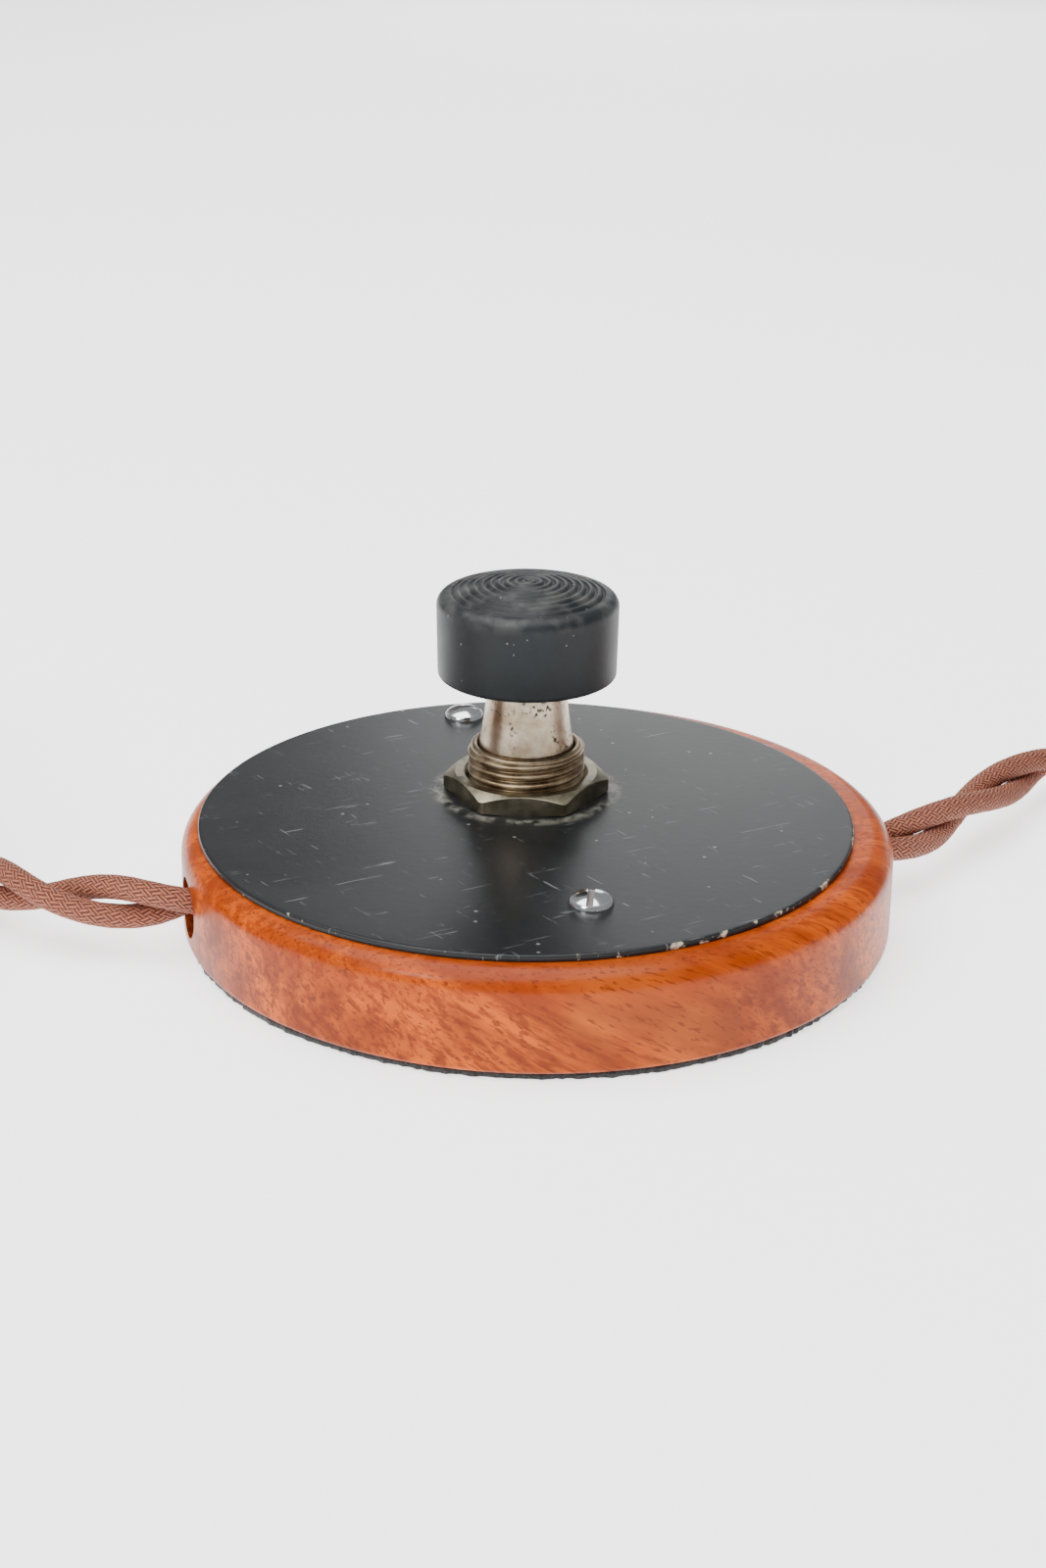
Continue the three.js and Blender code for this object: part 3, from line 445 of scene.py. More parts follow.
mains_cord = twisted_pair("mains_twisted_cord", mains_path, math.radians(244), 41 * MM, 1.98 * MM)
lamp_cord = twisted_pair("lamp_twisted_cord", lamp_path, math.radians(51), 55 * MM, 1.74 * MM)
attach(mains_cord, "switch")
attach(lamp_cord, "switch")
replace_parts(mains_cord, "mains_cord", "mains_coil", "mains_tail")
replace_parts(lamp_cord, "lamp_cord", "lamp_coil", "lamp_tail")


# %% [markdown]
# ## Building materials from nodes
#
# A finish is a Principled shader whose colour, roughness and bump come from procedural
# patterns. Short helpers add a node, feed its inputs, scale a value and lay one colour
# over another. Effects that finishes share are node groups: scratches, and dust.

# %% Node helpers
def feed(tree, node, inputs):
    """Set each input, by name or number, to a constant, or join it to a socket."""
    for key, value in inputs.items():
        if isinstance(value, bpy.types.NodeSocket):
            tree.links.new(value, node.inputs[key])
        else:
            node.inputs[key].default_value = value
    return node


def add(tree, kind, inputs, **settings):
    """Add a node, set its properties, and feed its inputs."""
    node = tree.nodes.new("ShaderNode" + kind)
    for key, value in settings.items():
        setattr(node, key, value)
    return feed(tree, node, inputs)


def math_of(tree, operation, a, b=0.0, c=0.0):
    """One Math node; each operand is a number or a socket."""
    return add(tree, "Math", {0: a, 1: b, 2: c}, operation=operation).outputs[0]


def times(tree, a, b):
    """The product of two values."""
    return math_of(tree, "MULTIPLY", a, b)


def scaled(tree, value, factor, offset):
    """value * factor + offset."""
    return math_of(tree, "MULTIPLY_ADD", value, factor, offset)


def span(tree, value, low, high, to_low=0.0, to_high=1.0):
    """Map a value from one range to another, smoothly and without leaving it."""
    node = add(tree, "MapRange", {"Value": value, "From Min": low, "From Max": high,
                                            "To Min": to_low, "To Max": to_high},
               interpolation_type="SMOOTHSTEP")
    return node.outputs["Result"]


def mix_colour(tree, factor, a, b):
    """Mix two colours, each a socket or an sRGB triple."""
    a, b = [colour(*value) if isinstance(value, tuple) else value for value in (a, b)]
    return add(tree, "Mix", {0: factor, 6: a, 7: b}, data_type="RGBA").outputs[2]


def laid_over(tree, under, mask, share, top):
    """Lay a colour over another where a mask is, up to a share of full strength."""
    return mix_colour(tree, times(tree, mask, share), under, top)


def colour(red, green, blue):
    """An sRGB colour, 0 to 255, as the linear colour that a shader takes."""
    channels = np.array([red, green, blue]) / 255
    linear = np.where(channels <= 0.04045, channels / 12.92, ((channels + 0.055) / 1.055) ** 2.4)
    return (*linear.tolist(), 1.0)


def new_material(name):
    """A material with an empty Principled shader; returns it, its tree and the shader."""
    material = bpy.data.materials.new(name)
    material.use_nodes = True
    tree = material.node_tree
    return material, tree, tree.nodes["Principled BSDF"]


def object_place(tree, turn=(0, 0, 0), scale=(1, 1, 1), shift=(0, 0, 0)):
    """Object coordinates, turned and then scaled, so that a pattern can run aslant."""
    place = add(tree, "TexCoord", {}).outputs["Object"]
    sizes = [1 / value for value in scale]
    return add(tree, "Mapping", {"Vector": place, "Rotation": turn, "Scale": sizes,
                                           "Location": shift}, vector_type="TEXTURE").outputs[0]


def height_of(tree):
    """How high a point is, in the object's own coordinates."""
    return add(tree, "SeparateXYZ", {0: object_place(tree)}).outputs[2]


def noise(tree, vector, scale, detail=3.0, roughness=0.5, distortion=0.0):
    """The grey value of a Noise texture."""
    return add(tree, "TexNoise", {"Vector": vector, "Scale": scale, "Detail": detail,
                                            "Roughness": roughness, "Distortion": distortion}).outputs[0]


def bump(tree, height, distance, strength=1.0, under=None):
    """A Bump node, stacked on another when one is given."""
    inputs = {"Height": height, "Distance": distance, "Strength": strength}
    if under is not None:
        inputs["Normal"] = under
    return add(tree, "Bump", inputs).outputs[0]


# %% Shared effects
def make_group(name, inputs, outputs):
    """An empty shader node group with named float or vector inputs and float outputs."""
    group = bpy.data.node_groups.new(name, "ShaderNodeTree")
    for label, value in inputs:
        kind = "NodeSocketVector" if isinstance(value, tuple) else "NodeSocketFloat"
        socket = group.interface.new_socket(label, in_out="INPUT", socket_type=kind)
        socket.default_value = value
    for label in outputs:
        group.interface.new_socket(label, in_out="OUTPUT", socket_type="NodeSocketFloat")
    return group, group.nodes.new("NodeGroupInput"), group.nodes.new("NodeGroupOutput")


def make_scratches():
    """Hairline scratches: thin bands of stretched noise, in two directions, kept in patches."""
    group, given, result = make_group(
        "fine_scratches", [("Place", (0.0, 0.0, 0.0)), ("Amount", 0.5)], ["Mask"])
    masks = []
    for turn, seed in ((0.5, 1.0), (-0.9, 7.0)):
        inputs = {"Vector": given.outputs["Place"], "Rotation": (0, 0, turn),
                  "Scale": (1 / 90, 1 / 2600, 1 / 400), "Location": (seed, seed, 0)}
        place = add(group, "Mapping", inputs, vector_type="TEXTURE").outputs[0]
        hair = noise(group, place, 1.0, 2.0)
        line = span(group, hair, 0.66, 0.71)
        patch = span(group, noise(group, given.outputs["Place"], 160 + 30 * seed, 1.0), 0.52, 0.62)
        masks.append(times(group, line, patch))
    both = math_of(group, "MAXIMUM", *masks)
    feed(group, result, {"Mask": times(group, both, given.outputs["Amount"])})
    return group


def make_dust():
    """Specks of lint: small cells of a Voronoi pattern, of which only a few are kept."""
    group, given, result = make_group(
        "dust_specks", [("Place", (0.0, 0.0, 0.0)), ("Scale", 700.0), ("Kept", 0.1)], ["Mask"])
    inputs = {"Vector": given.outputs["Place"], "Scale": given.outputs["Scale"], "Randomness": 1.0}
    cells = add(group, "TexVoronoi", inputs)
    dot = span(group, cells.outputs["Distance"], 0.22, 0.10)
    lucky = add(group, "SeparateColor", {0: cells.outputs["Color"]}).outputs[0]
    kept = math_of(group, "LESS_THAN", lucky, given.outputs["Kept"])
    feed(group, result, {"Mask": times(group, dot, kept)})
    return group


SCRATCHES = make_scratches()
DUST = make_dust()


def use_group(tree, group, **inputs):
    """Place a shared effect in a material and return its mask."""
    node = tree.nodes.new("ShaderNodeGroup")
    node.node_tree = group
    return feed(tree, node, inputs).outputs["Mask"]


print("shared effects:", SCRATCHES.name, DUST.name)


# %% [markdown]
# ## The braid on the cord
#
# Yarns run round the strand both ways and pass over and under each other, in rows of
# small slanted stitches. Modelling each would take millions of faces, so the pattern is
# worked out from the UV map, which holds the length in metres and the girth from 0 to 1:
# two sets of ridges slant opposite ways, and a checker decides which lies on top.

# %% Braid
def make_braid():
    """Terracotta braid: slanted stitches that swap over in a checker, with painted shade between them, a
    painted highlight on their crowns, and fibre fuzz.
    """
    stitch, stitches_round = 1.9 * MM, 9.0
    material, tree, shader = new_material("terracotta_braid")
    uv = add(tree, "UVMap", {}, uv_map="UVMap").outputs[0]
    parts = add(tree, "SeparateXYZ", {0: uv})
    wobble = noise(tree, uv, 300.0, 2.0)
    along = scaled(tree, parts.outputs[0], 1 / stitch, times(tree, wobble, 0.16))
    around = times(tree, parts.outputs[1], stitches_round)
    falling = math_of(tree, "ADD", along, around)
    rising = math_of(tree, "SUBTRACT", along, around)
    ridges = []
    for slant in (falling, rising):
        wave = math_of(tree, "PINGPONG", slant, 0.5)
        ridges.append(math_of(tree, "SINE", times(tree, wave, 2 * math.pi)))
    cell_a = math_of(tree, "FLOOR", falling)
    cell_b = math_of(tree, "FLOOR", rising)
    checker = math_of(tree, "PINGPONG", math_of(tree, "ADD", cell_a, cell_b), 1.0)
    height = add(tree, "Mix", {0: checker, 2: ridges[0], 3: ridges[1]}).outputs[0]
    height = math_of(tree, "ABSOLUTE", height)
    hairs = add(tree, "Mapping", {"Vector": uv, "Scale": (5200, 46, 1)}).outputs[0]
    fibre = noise(tree, hairs, 1.0, 3.0)
    body = mix_colour(tree, noise(tree, uv, 90.0, 2.0), (166, 74, 40), (184, 92, 56))
    # Painted shade: deep brown where the stitches sink between each other.
    tone = mix_colour(tree, span(tree, height, 0.05, 0.7), (62, 20, 10), body)
    # Painted highlight: pale terracotta on the crowns of the stitches.
    tone = laid_over(tree, tone, span(tree, height, 0.7, 1.0), 0.75, (206, 132, 98))
    tone = laid_over(tree, tone, span(tree, fibre, 0.60, 0.80), 0.35, (224, 186, 160))
    relief = bump(tree, scaled(tree, fibre, 0.25, height), 0.6 * MM)
    feed(tree, shader, {"Base Color": tone, "Roughness": 0.72, "Sheen Weight": 0.08,
                        "Sheen Roughness": 0.4, "Normal": relief})
    return material


braid = make_braid()
paint(mains_cord, braid)
paint(lamp_cord, braid)
print("braid on", mains_cord.name, "and", lamp_cord.name)


# %% [markdown]
# ## The wooden disc
#
# The base was turned from a board, so its grain runs straight through the disc, and
# shows as long streaks and slanting pores. The shape is one closed grid: up the outside,
# across the top and down inside the cavity, whose centre is shifted. Then the two cord
# holes are cut.

# %% Wooden disc
def cut_with(piece, cutters):
    """Cut other pieces out of one with the Boolean modifier, and keep the result."""
    for cutter in cutters:
        tool = piece.modifiers.new("hole", "BOOLEAN")
        tool.object = cutter
        tool.solver = "EXACT"
    bpy.context.view_layer.update()
    done = bpy.data.meshes.new_from_object(piece.evaluated_get(bpy.context.evaluated_depsgraph_get()))
    piece.modifiers.clear()
    piece.data = done
    for cutter in cutters:
        bpy.data.objects.remove(cutter)
    shade(piece, 40)
    return piece


def drill(name, start, end, radius, columns=48):
    """A round bar from start to end, used as a cutter: rings of a circle along a line."""
    start, end = np.array(start), np.array(end)
    run = unit(end - start)
    side = unit(np.cross(run, [0.0, 0.0, 1.0]))
    up = np.cross(side, run)
    angle = full_turn(columns)[:, None]
    circle = radius * (np.cos(angle) * up - np.sin(angle) * side)
    rows = np.stack([start + 0 * circle, start + circle, end + circle, end + 0 * circle])
    return finished(grid_piece(name, rows), turn_outwards=True)


(wood_centre, wood_low, wood_high) = middle("wood_base")
(cover_centre, _, cover_top) = middle("bottom_cover")
CAVITY_RADIUS = 30 * MM
HOLE_RADIUS = 3.9 * MM
MAINS_HOLE_DROP = np.array([0, 0, 0.9 * MM])
MAINS_HOLE_SLACK = 0.4 * MM


def make_wood_disc():
    """The closed outline of the ring, with the cavity's own centre on its inner rows."""
    radius = half_width("wood_base")
    cover_radius = half_width("bottom_cover") + 0.3 * MM
    foot, top, lip = 0.8 * MM, 3.2 * MM, 0.2 * MM
    quarter = np.linspace(0, math.pi / 2, 12)
    low_edge = [(radius - foot + foot * math.sin(a), wood_low + foot - foot * math.cos(a))
                for a in quarter]
    high_edge = arc(radius, wood_high, top, 12)
    side = [(radius, z) for z in np.linspace(low_edge[-1][1], high_edge[0][1], 6)[1:-1]]
    outer = low_edge + side + high_edge
    inner = [(CAVITY_RADIUS + lip, wood_high), (CAVITY_RADIUS, wood_high - lip),
             (CAVITY_RADIUS, cover_top), (cover_radius, cover_top), (cover_radius, wood_low)]
    centres = [wood_centre] * len(outer) + [cover_centre] * len(inner)
    return turned("wooden_disc", outer + inner, centres, columns=192, close_rows=True)


def cord_drill(name, route, drop, radius):
    """A bar along the first part of a route, from outside the wood to inside the cavity."""
    run = unit(route[0] - route[2])
    return drill(name, route[3] - 14 * MM * run - drop, route[0] + 2 * MM * run - drop, radius)


wooden_disc = make_wood_disc()
cut_with(wooden_disc, [
    cord_drill("mains_drill", MAINS_ROUTE, MAINS_HOLE_DROP, HOLE_RADIUS + MAINS_HOLE_SLACK),
    cord_drill("lamp_drill", LAMP_ROUTE, 0 * MAINS_HOLE_DROP, HOLE_RADIUS),
])


# %% Lacquered wood
def make_wood():
    """Orange-brown hardwood: broad figure, fine streaks and short dark pores under lacquer."""
    material, tree, shader = new_material("lacquered_hardwood")
    grain_turn = (0.0, math.radians(30), math.radians(12))
    broad, streak, pore = [
        noise(tree, object_place(tree, grain_turn, stretch), 1.0, *texture)
        for stretch, texture in (((14, 120, 120), (4.0, 0.6, 0.6)),
                                 ((60, 900, 900), (4.0, 0.65, 0.3)),
                                 ((330, 2300, 2300), (2.0, 0.5)))]
    blotch = noise(tree, object_place(tree), 55.0, 3.0)
    tone = mix_colour(tree, span(tree, broad, 0.32, 0.68), (116, 40, 2), (198, 88, 10))
    tone = laid_over(tree, tone, span(tree, streak, 0.44, 0.62), 0.8, (112, 38, 4))
    tone = laid_over(tree, tone, span(tree, blotch, 0.50, 0.75), 0.3, (206, 108, 34))
    upper_band = span(tree, height_of(tree), wood_high - 6.5 * MM, wood_high - 2.0 * MM)
    tone = laid_over(tree, tone, upper_band, 0.3, (178, 66, 8))
    pores = span(tree, pore, 0.57, 0.66)
    tone = laid_over(tree, tone, pores, 0.75, (104, 38, 10))
    under = bump(tree, pores, 0.12 * MM, -0.5)
    relief = bump(tree, noise(tree, object_place(tree), 210.0, 2.0), 0.25 * MM, 0.35, under)
    feed(tree, shader, {"Base Color": tone, "Roughness": scaled(tree, blotch, 0.16, 0.26),
                        "Specular IOR Level": 0.12, "Coat Weight": 0.09, "Coat Roughness": 0.12,
                        "Normal": relief})
    return material


take_place(wooden_disc, "wood_base", "switch", make_wood())


# %% [markdown]
# ## Felt under the disc
#
# The felt was cut by hand, so its edge is not quite round. A turned disc with a rim that
# wanders by a tenth of a millimetre or two gives that ragged dark line on the floor.

# %% Felt
def make_felt_pad():
    """A flat disc whose rim radius wanders with a sum of sines of the angle."""
    centre, low, high = middle("felt_pad")
    radius = half_width("felt_pad")
    columns = 480
    profile = rounded([(0.0, low), (radius, low), (radius, high), (0.0, high)], 0.35 * MM)
    angle = full_turn(columns)
    wander = 0.10 * np.sin(5 * angle + 1) + 0.07 * np.sin(13 * angle) + 0.12 * rng.normal(size=columns)
    edge = (profile[:, :1] / radius) ** 8
    r = profile[:, :1] + MM * wander * edge
    return finished(grid_piece("felt_disc", round_axis(centre, r, angle, profile[:, 1:])))


def make_felt():
    """Black wool felt: soft fibres in near-black and dark grey."""
    material, tree, shader = new_material("black_felt")
    fuzz = noise(tree, object_place(tree), 2600.0, 4.0, 0.7)
    tone = mix_colour(tree, span(tree, fuzz, 0.35, 0.75), (12, 12, 13), (58, 57, 58))
    feed(tree, shader, {"Base Color": tone, "Roughness": 0.95, "Sheen Weight": 0.3,
                        "Normal": bump(tree, fuzz, 0.2 * MM, 0.8)})
    return material


take_place(make_felt_pad(), "felt_pad", "switch", make_felt())


# %% [markdown]
# ## The enamelled plate
#
# The plate is sheet metal, enamelled black. Its rim has been knocked for years, so bare
# metal shows along the edge, and dirt has gathered round the nut. The grid runs from the
# bush's hole, which is off the plate's centre, to the rim and back. The wear is a mask of
# how near a point is to the rim, broken up by noise into chips.

# %% Plate
(plate_centre, plate_low, plate_high) = middle("top_plate")
PLATE_RADIUS = half_width("top_plate")
(button_centre, cap_low, cap_high) = middle("button_cap")
(_, bush_low, bush_high) = middle("threaded_bush")


def make_plate_piece():
    """A flat ring: hole rows on the bush's axis, rim rows on the plate's own centre."""
    hole = 8.7 * MM
    edge = 0.28 * MM
    burr = 0.1 * MM
    rows = [(hole, plate_low), (PLATE_RADIUS - burr, plate_low), (PLATE_RADIUS, plate_low + burr)]
    rows += arc(PLATE_RADIUS, plate_high, edge, 6)
    rows += [(PLATE_RADIUS - 0.6 * MM, plate_high), (hole, plate_high)]
    centres = [button_centre] + [plate_centre] * (len(rows) - 2) + [button_centre]
    return turned("black_plate", rows, centres, columns=256, close_rows=True)


def radius_from(tree, centre):
    """Distance of a point from an upright axis."""
    place = object_place(tree, shift=(centre[0], centre[1], 0))
    flat = add(tree, "VectorMath", {0: place, 1: (1, 1, 0)}, operation="MULTIPLY").outputs[0]
    return add(tree, "VectorMath", {0: flat}, operation="LENGTH").outputs["Value"]


def make_enamel():
    """Satin charcoal enamel: orange peel, rubbed patches, scratches, dust, and a chipped rim."""
    material, tree, shader = new_material("charcoal_enamel")
    place = object_place(tree)
    cloud = noise(tree, place, 38.0, 5.0, 0.6, 0.4)
    tone = mix_colour(tree, span(tree, cloud, 0.3, 0.7), (20, 22, 24), (30, 32, 34))
    scratch = use_group(tree, SCRATCHES, Place=place, Amount=0.6)
    tone = mix_colour(tree, scratch, tone, (120, 124, 126))
    dust = use_group(tree, DUST, Place=place, Scale=620.0, Kept=0.045)
    tone = laid_over(tree, tone, dust, 0.5, (150, 150, 146))
    from_bush = radius_from(tree, button_centre)
    ring = times(tree, span(tree, from_bush, 11.2 * MM, 12.4 * MM),
                 span(tree, from_bush, 14.2 * MM, 12.6 * MM))
    dirt = times(tree, ring, span(tree, noise(tree, place, 420.0, 4.0, 0.7), 0.42, 0.62))
    tone = laid_over(tree, tone, dirt, 0.7, (132, 130, 120))
    near_rim = span(tree, radius_from(tree, plate_centre),
                    PLATE_RADIUS - 0.42 * MM, PLATE_RADIUS - 0.10 * MM)
    chips = scaled(tree, noise(tree, place, 30.0, 1.0), 0.5, noise(tree, place, 330.0, 4.0, 0.7))
    worn = times(tree, near_rim, span(tree, chips, 0.86, 0.94))
    tone = mix_colour(tree, worn, tone, (212, 200, 176))
    rough = scaled(tree, scratch, 0.25, scaled(tree, cloud, 0.16, 0.24))
    peel = bump(tree, noise(tree, place, 900.0, 2.0), 0.02 * MM, 0.5)
    feed(tree, shader, {"Base Color": tone, "Roughness": rough, "Specular IOR Level": 0.3,
                        "Metallic": times(tree, worn, 0.5),
                        "Normal": bump(tree, worn, 0.05 * MM, -0.8, peel)})
    return material


take_place(make_plate_piece(), "top_plate", "switch", make_enamel())


# %% [markdown]
# ## Old nickel
#
# The nut, the bush and the neck are nickel-plated brass that has dulled unevenly: olive
# on the nut, brownish in the thread, warm and brighter on the neck, with dark pits where
# the plating has gone. The three finishes differ only in their tones, roughness and pits.

# %% Nickel finish
def make_nickel(name, dark, light, rough, pit_share, turned_marks):
    """Aged nickel: blended tones, dark pits, and fine turning marks round the axis."""
    material, tree, shader = new_material(name)
    place = object_place(tree)
    cloud = noise(tree, place, 260.0, 5.0, 0.65)
    tone = mix_colour(tree, span(tree, cloud, 0.32, 0.68), dark, light)
    pits = span(tree, noise(tree, place, 1500.0, 3.0, 0.6), 0.74 - pit_share, 0.80 - pit_share)
    stain = span(tree, noise(tree, place, 190.0, 3.0), 0.46, 0.62)
    pits = times(tree, pits, stain)
    tone = laid_over(tree, tone, pits, 0.85, (58, 44, 34))
    around = add(tree, "CombineXYZ", {2: times(tree, height_of(tree), 9000.0)}).outputs[0]
    marks = bump(tree, noise(tree, around, 1.0, 2.0), 0.012 * MM, turned_marks)
    roughness = scaled(tree, pits, 0.35, scaled(tree, cloud, 0.2, rough))
    feed(tree, shader, {"Base Color": tone, "Roughness": roughness,
                        "Metallic": scaled(tree, pits, -0.7, 1.0),
                        "Normal": bump(tree, pits, 0.06 * MM, -0.7, marks)})
    return material


nut_nickel = make_nickel("olive_nickel", (120, 114, 96), (168, 160, 138), 0.26, 0.04, 0.15)
bush_nickel = make_nickel("brown_nickel", (118, 98, 74), (176, 158, 130), 0.26, 0.10, 0.3)
neck_nickel = make_nickel("warm_nickel", (146, 129, 106), (196, 183, 163), 0.22, 0.17, 0.5)
print("nickel finishes:", nut_nickel.name, bush_nickel.name, neck_nickel.name)


# %% [markdown]
# ## Nut, bush and neck
#
# A hexagon nut's top corners are turned off in a cone, which leaves its curved edges: the
# side is as high as the cone is at that distance from the axis. The bush's thread is a
# real helix, where the radius depends on height minus angle. The neck is a waisted curve.

# %% Nut
def make_nut():
    """Rows from bore to foot, side and cone, each at the hexagon's own radius.

    R(a) = flat / cos(a mod 60 - 30), and the side stops where the cone passes R:
    z = top - slope (R - flat).
    """
    centre, low, high = middle("lock_nut")
    flat = half_width("lock_nut") * math.cos(math.radians(30))
    bore, slope, columns = 8.45 * MM, 0.62, 360
    corner_wear, wear_angle = 0.18 * MM, 0.02
    angle = full_turn(columns)
    folded = np.mod(angle, math.pi / 3) - math.pi / 6
    worn = corner_wear * np.exp(-((np.abs(folded) - math.pi / 6) / wear_angle) ** 2)
    side = flat / np.cos(folded) - worn
    side_top = high - 0.12 * MM - slope * (side - flat)
    rows = [
        (bore, low), (flat - 0.3 * MM, low),
        (side, low + 0.25 * slope * (side - flat)), (side, side_top),
        (side - 0.14 * MM, side_top + 0.10 * MM),
        (flat - 0.25 * MM, high), (bore + 0.5 * MM, high),
        (bore + 0.4 * MM, high - 0.05 * MM), (bore, high - 0.4 * MM),
    ]
    turn = math.radians(-2.5)
    points = np.array([round_axis(centre, r, angle + turn, z) for r, z in rows])
    return finished(grid_piece("hexagon_nut", points, close_rows=True), 25.0)


def make_bush():
    """A threaded tube: r = crest - depth * groove(z / pitch - a / 2 pi).

    groove is a rounded valley, ((1 + cos 2 pi t) / 2) ^ 1.6, so the crests are broad.
    """
    crest, depth, pitch = 8.4 * MM, 0.62 * MM, 1.4 * MM
    bore, rim, flange = 7.0 * MM, 0.55 * MM, 14.0 * MM
    angle = full_turn(160)
    flange_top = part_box("lock_washer")[0].z
    z = np.linspace(flange_top, bush_high - rim, 110)[:, None]
    phase = (z - bush_high) / pitch - angle[None, :] / (2 * math.pi)
    groove = ((1 + np.cos(2 * math.pi * phase)) / 2) ** 1.6
    thread = round_axis(button_centre, crest - depth * groove, angle, z)
    head = [(bore, bush_low), (flange, bush_low), (flange, flange_top)]
    tail = arc(crest - depth * 0.7, bush_high, rim, 7)
    tail += [(bore + 0.15 * MM, bush_high), (bore, bush_high - 0.15 * MM)]
    below, above = [[round_axis(button_centre, r, angle, h) for r, h in rings]
                    for rings in (head, tail)]
    points = np.concatenate([below, thread, above])
    return finished(grid_piece("threaded_bush_fine", points, close_rows=True), 50.0)


def make_neck():
    """Outer curve r(z) = neck + (foot - neck)(1 - share)^1.8, closed by the inner bore."""
    foot_radius, neck_radius = 6.7 * MM, 5.6 * MM
    bore, counterbore, collar, stud = 4.9 * MM, 5.6 * MM, 8.6 * MM, 4.0 * MM
    plunger_low, plunger_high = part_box("plunger")
    collar_low, stud_top = plunger_low.z, plunger_high.z
    collar_top = collar_low + 1.24 * MM
    share = np.linspace(0, 1, 30)
    foot = bush_high + 0.4 * MM
    waist = neck_radius + (foot_radius - neck_radius) * (1 - share) ** 1.8
    curve = np.stack([waist, foot + share * (cap_low - foot)], axis=-1)
    roof = cap_low - 3.0 * MM
    inside = [(0.0, roof), (bore, roof), (bore, collar_low + 4.2 * MM),
              (counterbore, collar_low + 4.1 * MM), (counterbore, collar_low),
              (collar, collar_low), (collar, collar_top), (foot_radius, collar_top)]
    top = [(stud, cap_low), (stud, stud_top), (0.0, stud_top)]
    return turned("nickel_neck", np.array(inside + curve.tolist() + top), button_centre)


take_place(make_nut(), "lock_nut", "switch", nut_nickel)
take_place(make_bush(), "threaded_bush", "switch", bush_nickel)
take_place(make_neck(), "plunger", "button", neck_nickel)


# %% [markdown]
# ## The button cap
#
# The cap is a black moulding with a low dome and fine concentric grooves. They are part
# of the profile, the dome's height less a rounded wave of the radius, so the rings are
# true ones that catch the light, which a bump map would not do at the silhouette.

# %% Cap
def make_cap():
    """Dome h(r) = rise (1 - (r / rim)^2), less a groove wave, with a small dimple."""
    radius, foot_radius = 12.85 * MM, 12.68 * MM
    edge, rings, ringed = 1.7 * MM, 9, 11.2 * MM
    shoulder = cap_low + 10.2 * MM
    dome_foot = shoulder + edge
    rise = cap_high - dome_foot
    rim = radius - edge
    bore, pocket_top = 4.3 * MM, cap_low + 4.5 * MM
    side = rounded([(bore, cap_low), (foot_radius, cap_low), (radius, shoulder)], 0.6 * MM)
    pocket = [(0.0, pocket_top), (bore, pocket_top)]
    turn = arc(radius, dome_foot, edge, 12)[1:]
    r = np.linspace(ringed - 0.05 * MM, 0.0, 260)
    pitch = ringed / (rings + 0.5)
    wave = 0.5 - 0.5 * np.cos(2 * math.pi * (r / pitch - 0.5))
    depth = 0.30 * MM * wave ** 1.5 * np.clip((ringed - r) / (0.4 * pitch), 0, 1)
    dimple = 0.35 * MM * np.exp(-(r / (0.42 * MM)) ** 2)
    dome = np.stack([r, dome_foot + rise * (1 - (r / rim) ** 2) - depth - dimple], axis=-1)
    profile = np.concatenate([pocket, side, turn, dome])
    return turned("ringed_cap", profile, button_centre, columns=192)


def make_cap_finish():
    """Satin black moulding: faint mottling, pale dust in the grooves, nicks on the side, and a painted
    highlight along the upper edge.
    """
    material, tree, shader = new_material("satin_black_moulding")
    place = object_place(tree)
    cloud = noise(tree, place, 120.0, 4.0, 0.6)
    tone = mix_colour(tree, span(tree, cloud, 0.3, 0.7), (20, 23, 26), (30, 34, 37))
    dust = use_group(tree, DUST, Place=place, Scale=1100.0, Kept=0.08)
    tone = laid_over(tree, tone, dust, 0.45, (150, 148, 140))
    stretched = object_place(tree, scale=(1, 1, 2.4))
    nick = span(tree, noise(tree, stretched, 520.0, 3.0, 0.6), 0.70, 0.76)
    tone = laid_over(tree, tone, nick, 0.5, (20, 20, 20))
    # Painted highlight: a paler grey along the upper edge of the cap, broken up by noise.
    upper_edge = span(tree, height_of(tree), cap_high - 4.6 * MM, cap_high - 1.8 * MM)
    painted_edge_highlight = times(tree, upper_edge, span(tree, noise(tree, place, 300.0, 3.0), 0.4, 0.7))
    tone = laid_over(tree, tone, painted_edge_highlight, 0.35, (104, 104, 100))
    grain = bump(tree, noise(tree, place, 1800.0, 2.0), 0.03 * MM, 0.5)
    feed(tree, shader, {"Base Color": tone, "Roughness": scaled(tree, cloud, 0.2, 0.38),
                        "Specular IOR Level": 0.3,
                        "Normal": bump(tree, nick, 0.12 * MM, -0.8, grain)})
    return material


moulding = make_cap_finish()
take_place(make_cap(), "button_cap", "button", moulding)


# %% [markdown]
# ## The two bright screws
#
# The head is part of a circle turned round the axis, and the slot is cut through it with
# a long thin block, as a saw does.

# %% Screws
def block_cutter(name, centre, length, width, low, high, angle):
    """A long block, turned about the upright: a rectangle's corners at two heights."""
    corners = np.array([[-length, -width], [length, -width], [length, width], [-length, width]]) / 2
    turn = np.array([[math.cos(angle), -math.sin(angle)], [math.sin(angle), math.cos(angle)]])
    flat = corners @ turn.T + np.array(centre)
    rings = []
    for shrink, z in ((0, low), (1, low), (1, high), (0, high)):
        plane = np.array(centre) + shrink * (flat - np.array(centre))
        rings.append(np.column_stack([plane, np.full(4, z)]))
    return finished(grid_piece(name, np.array(rings)))


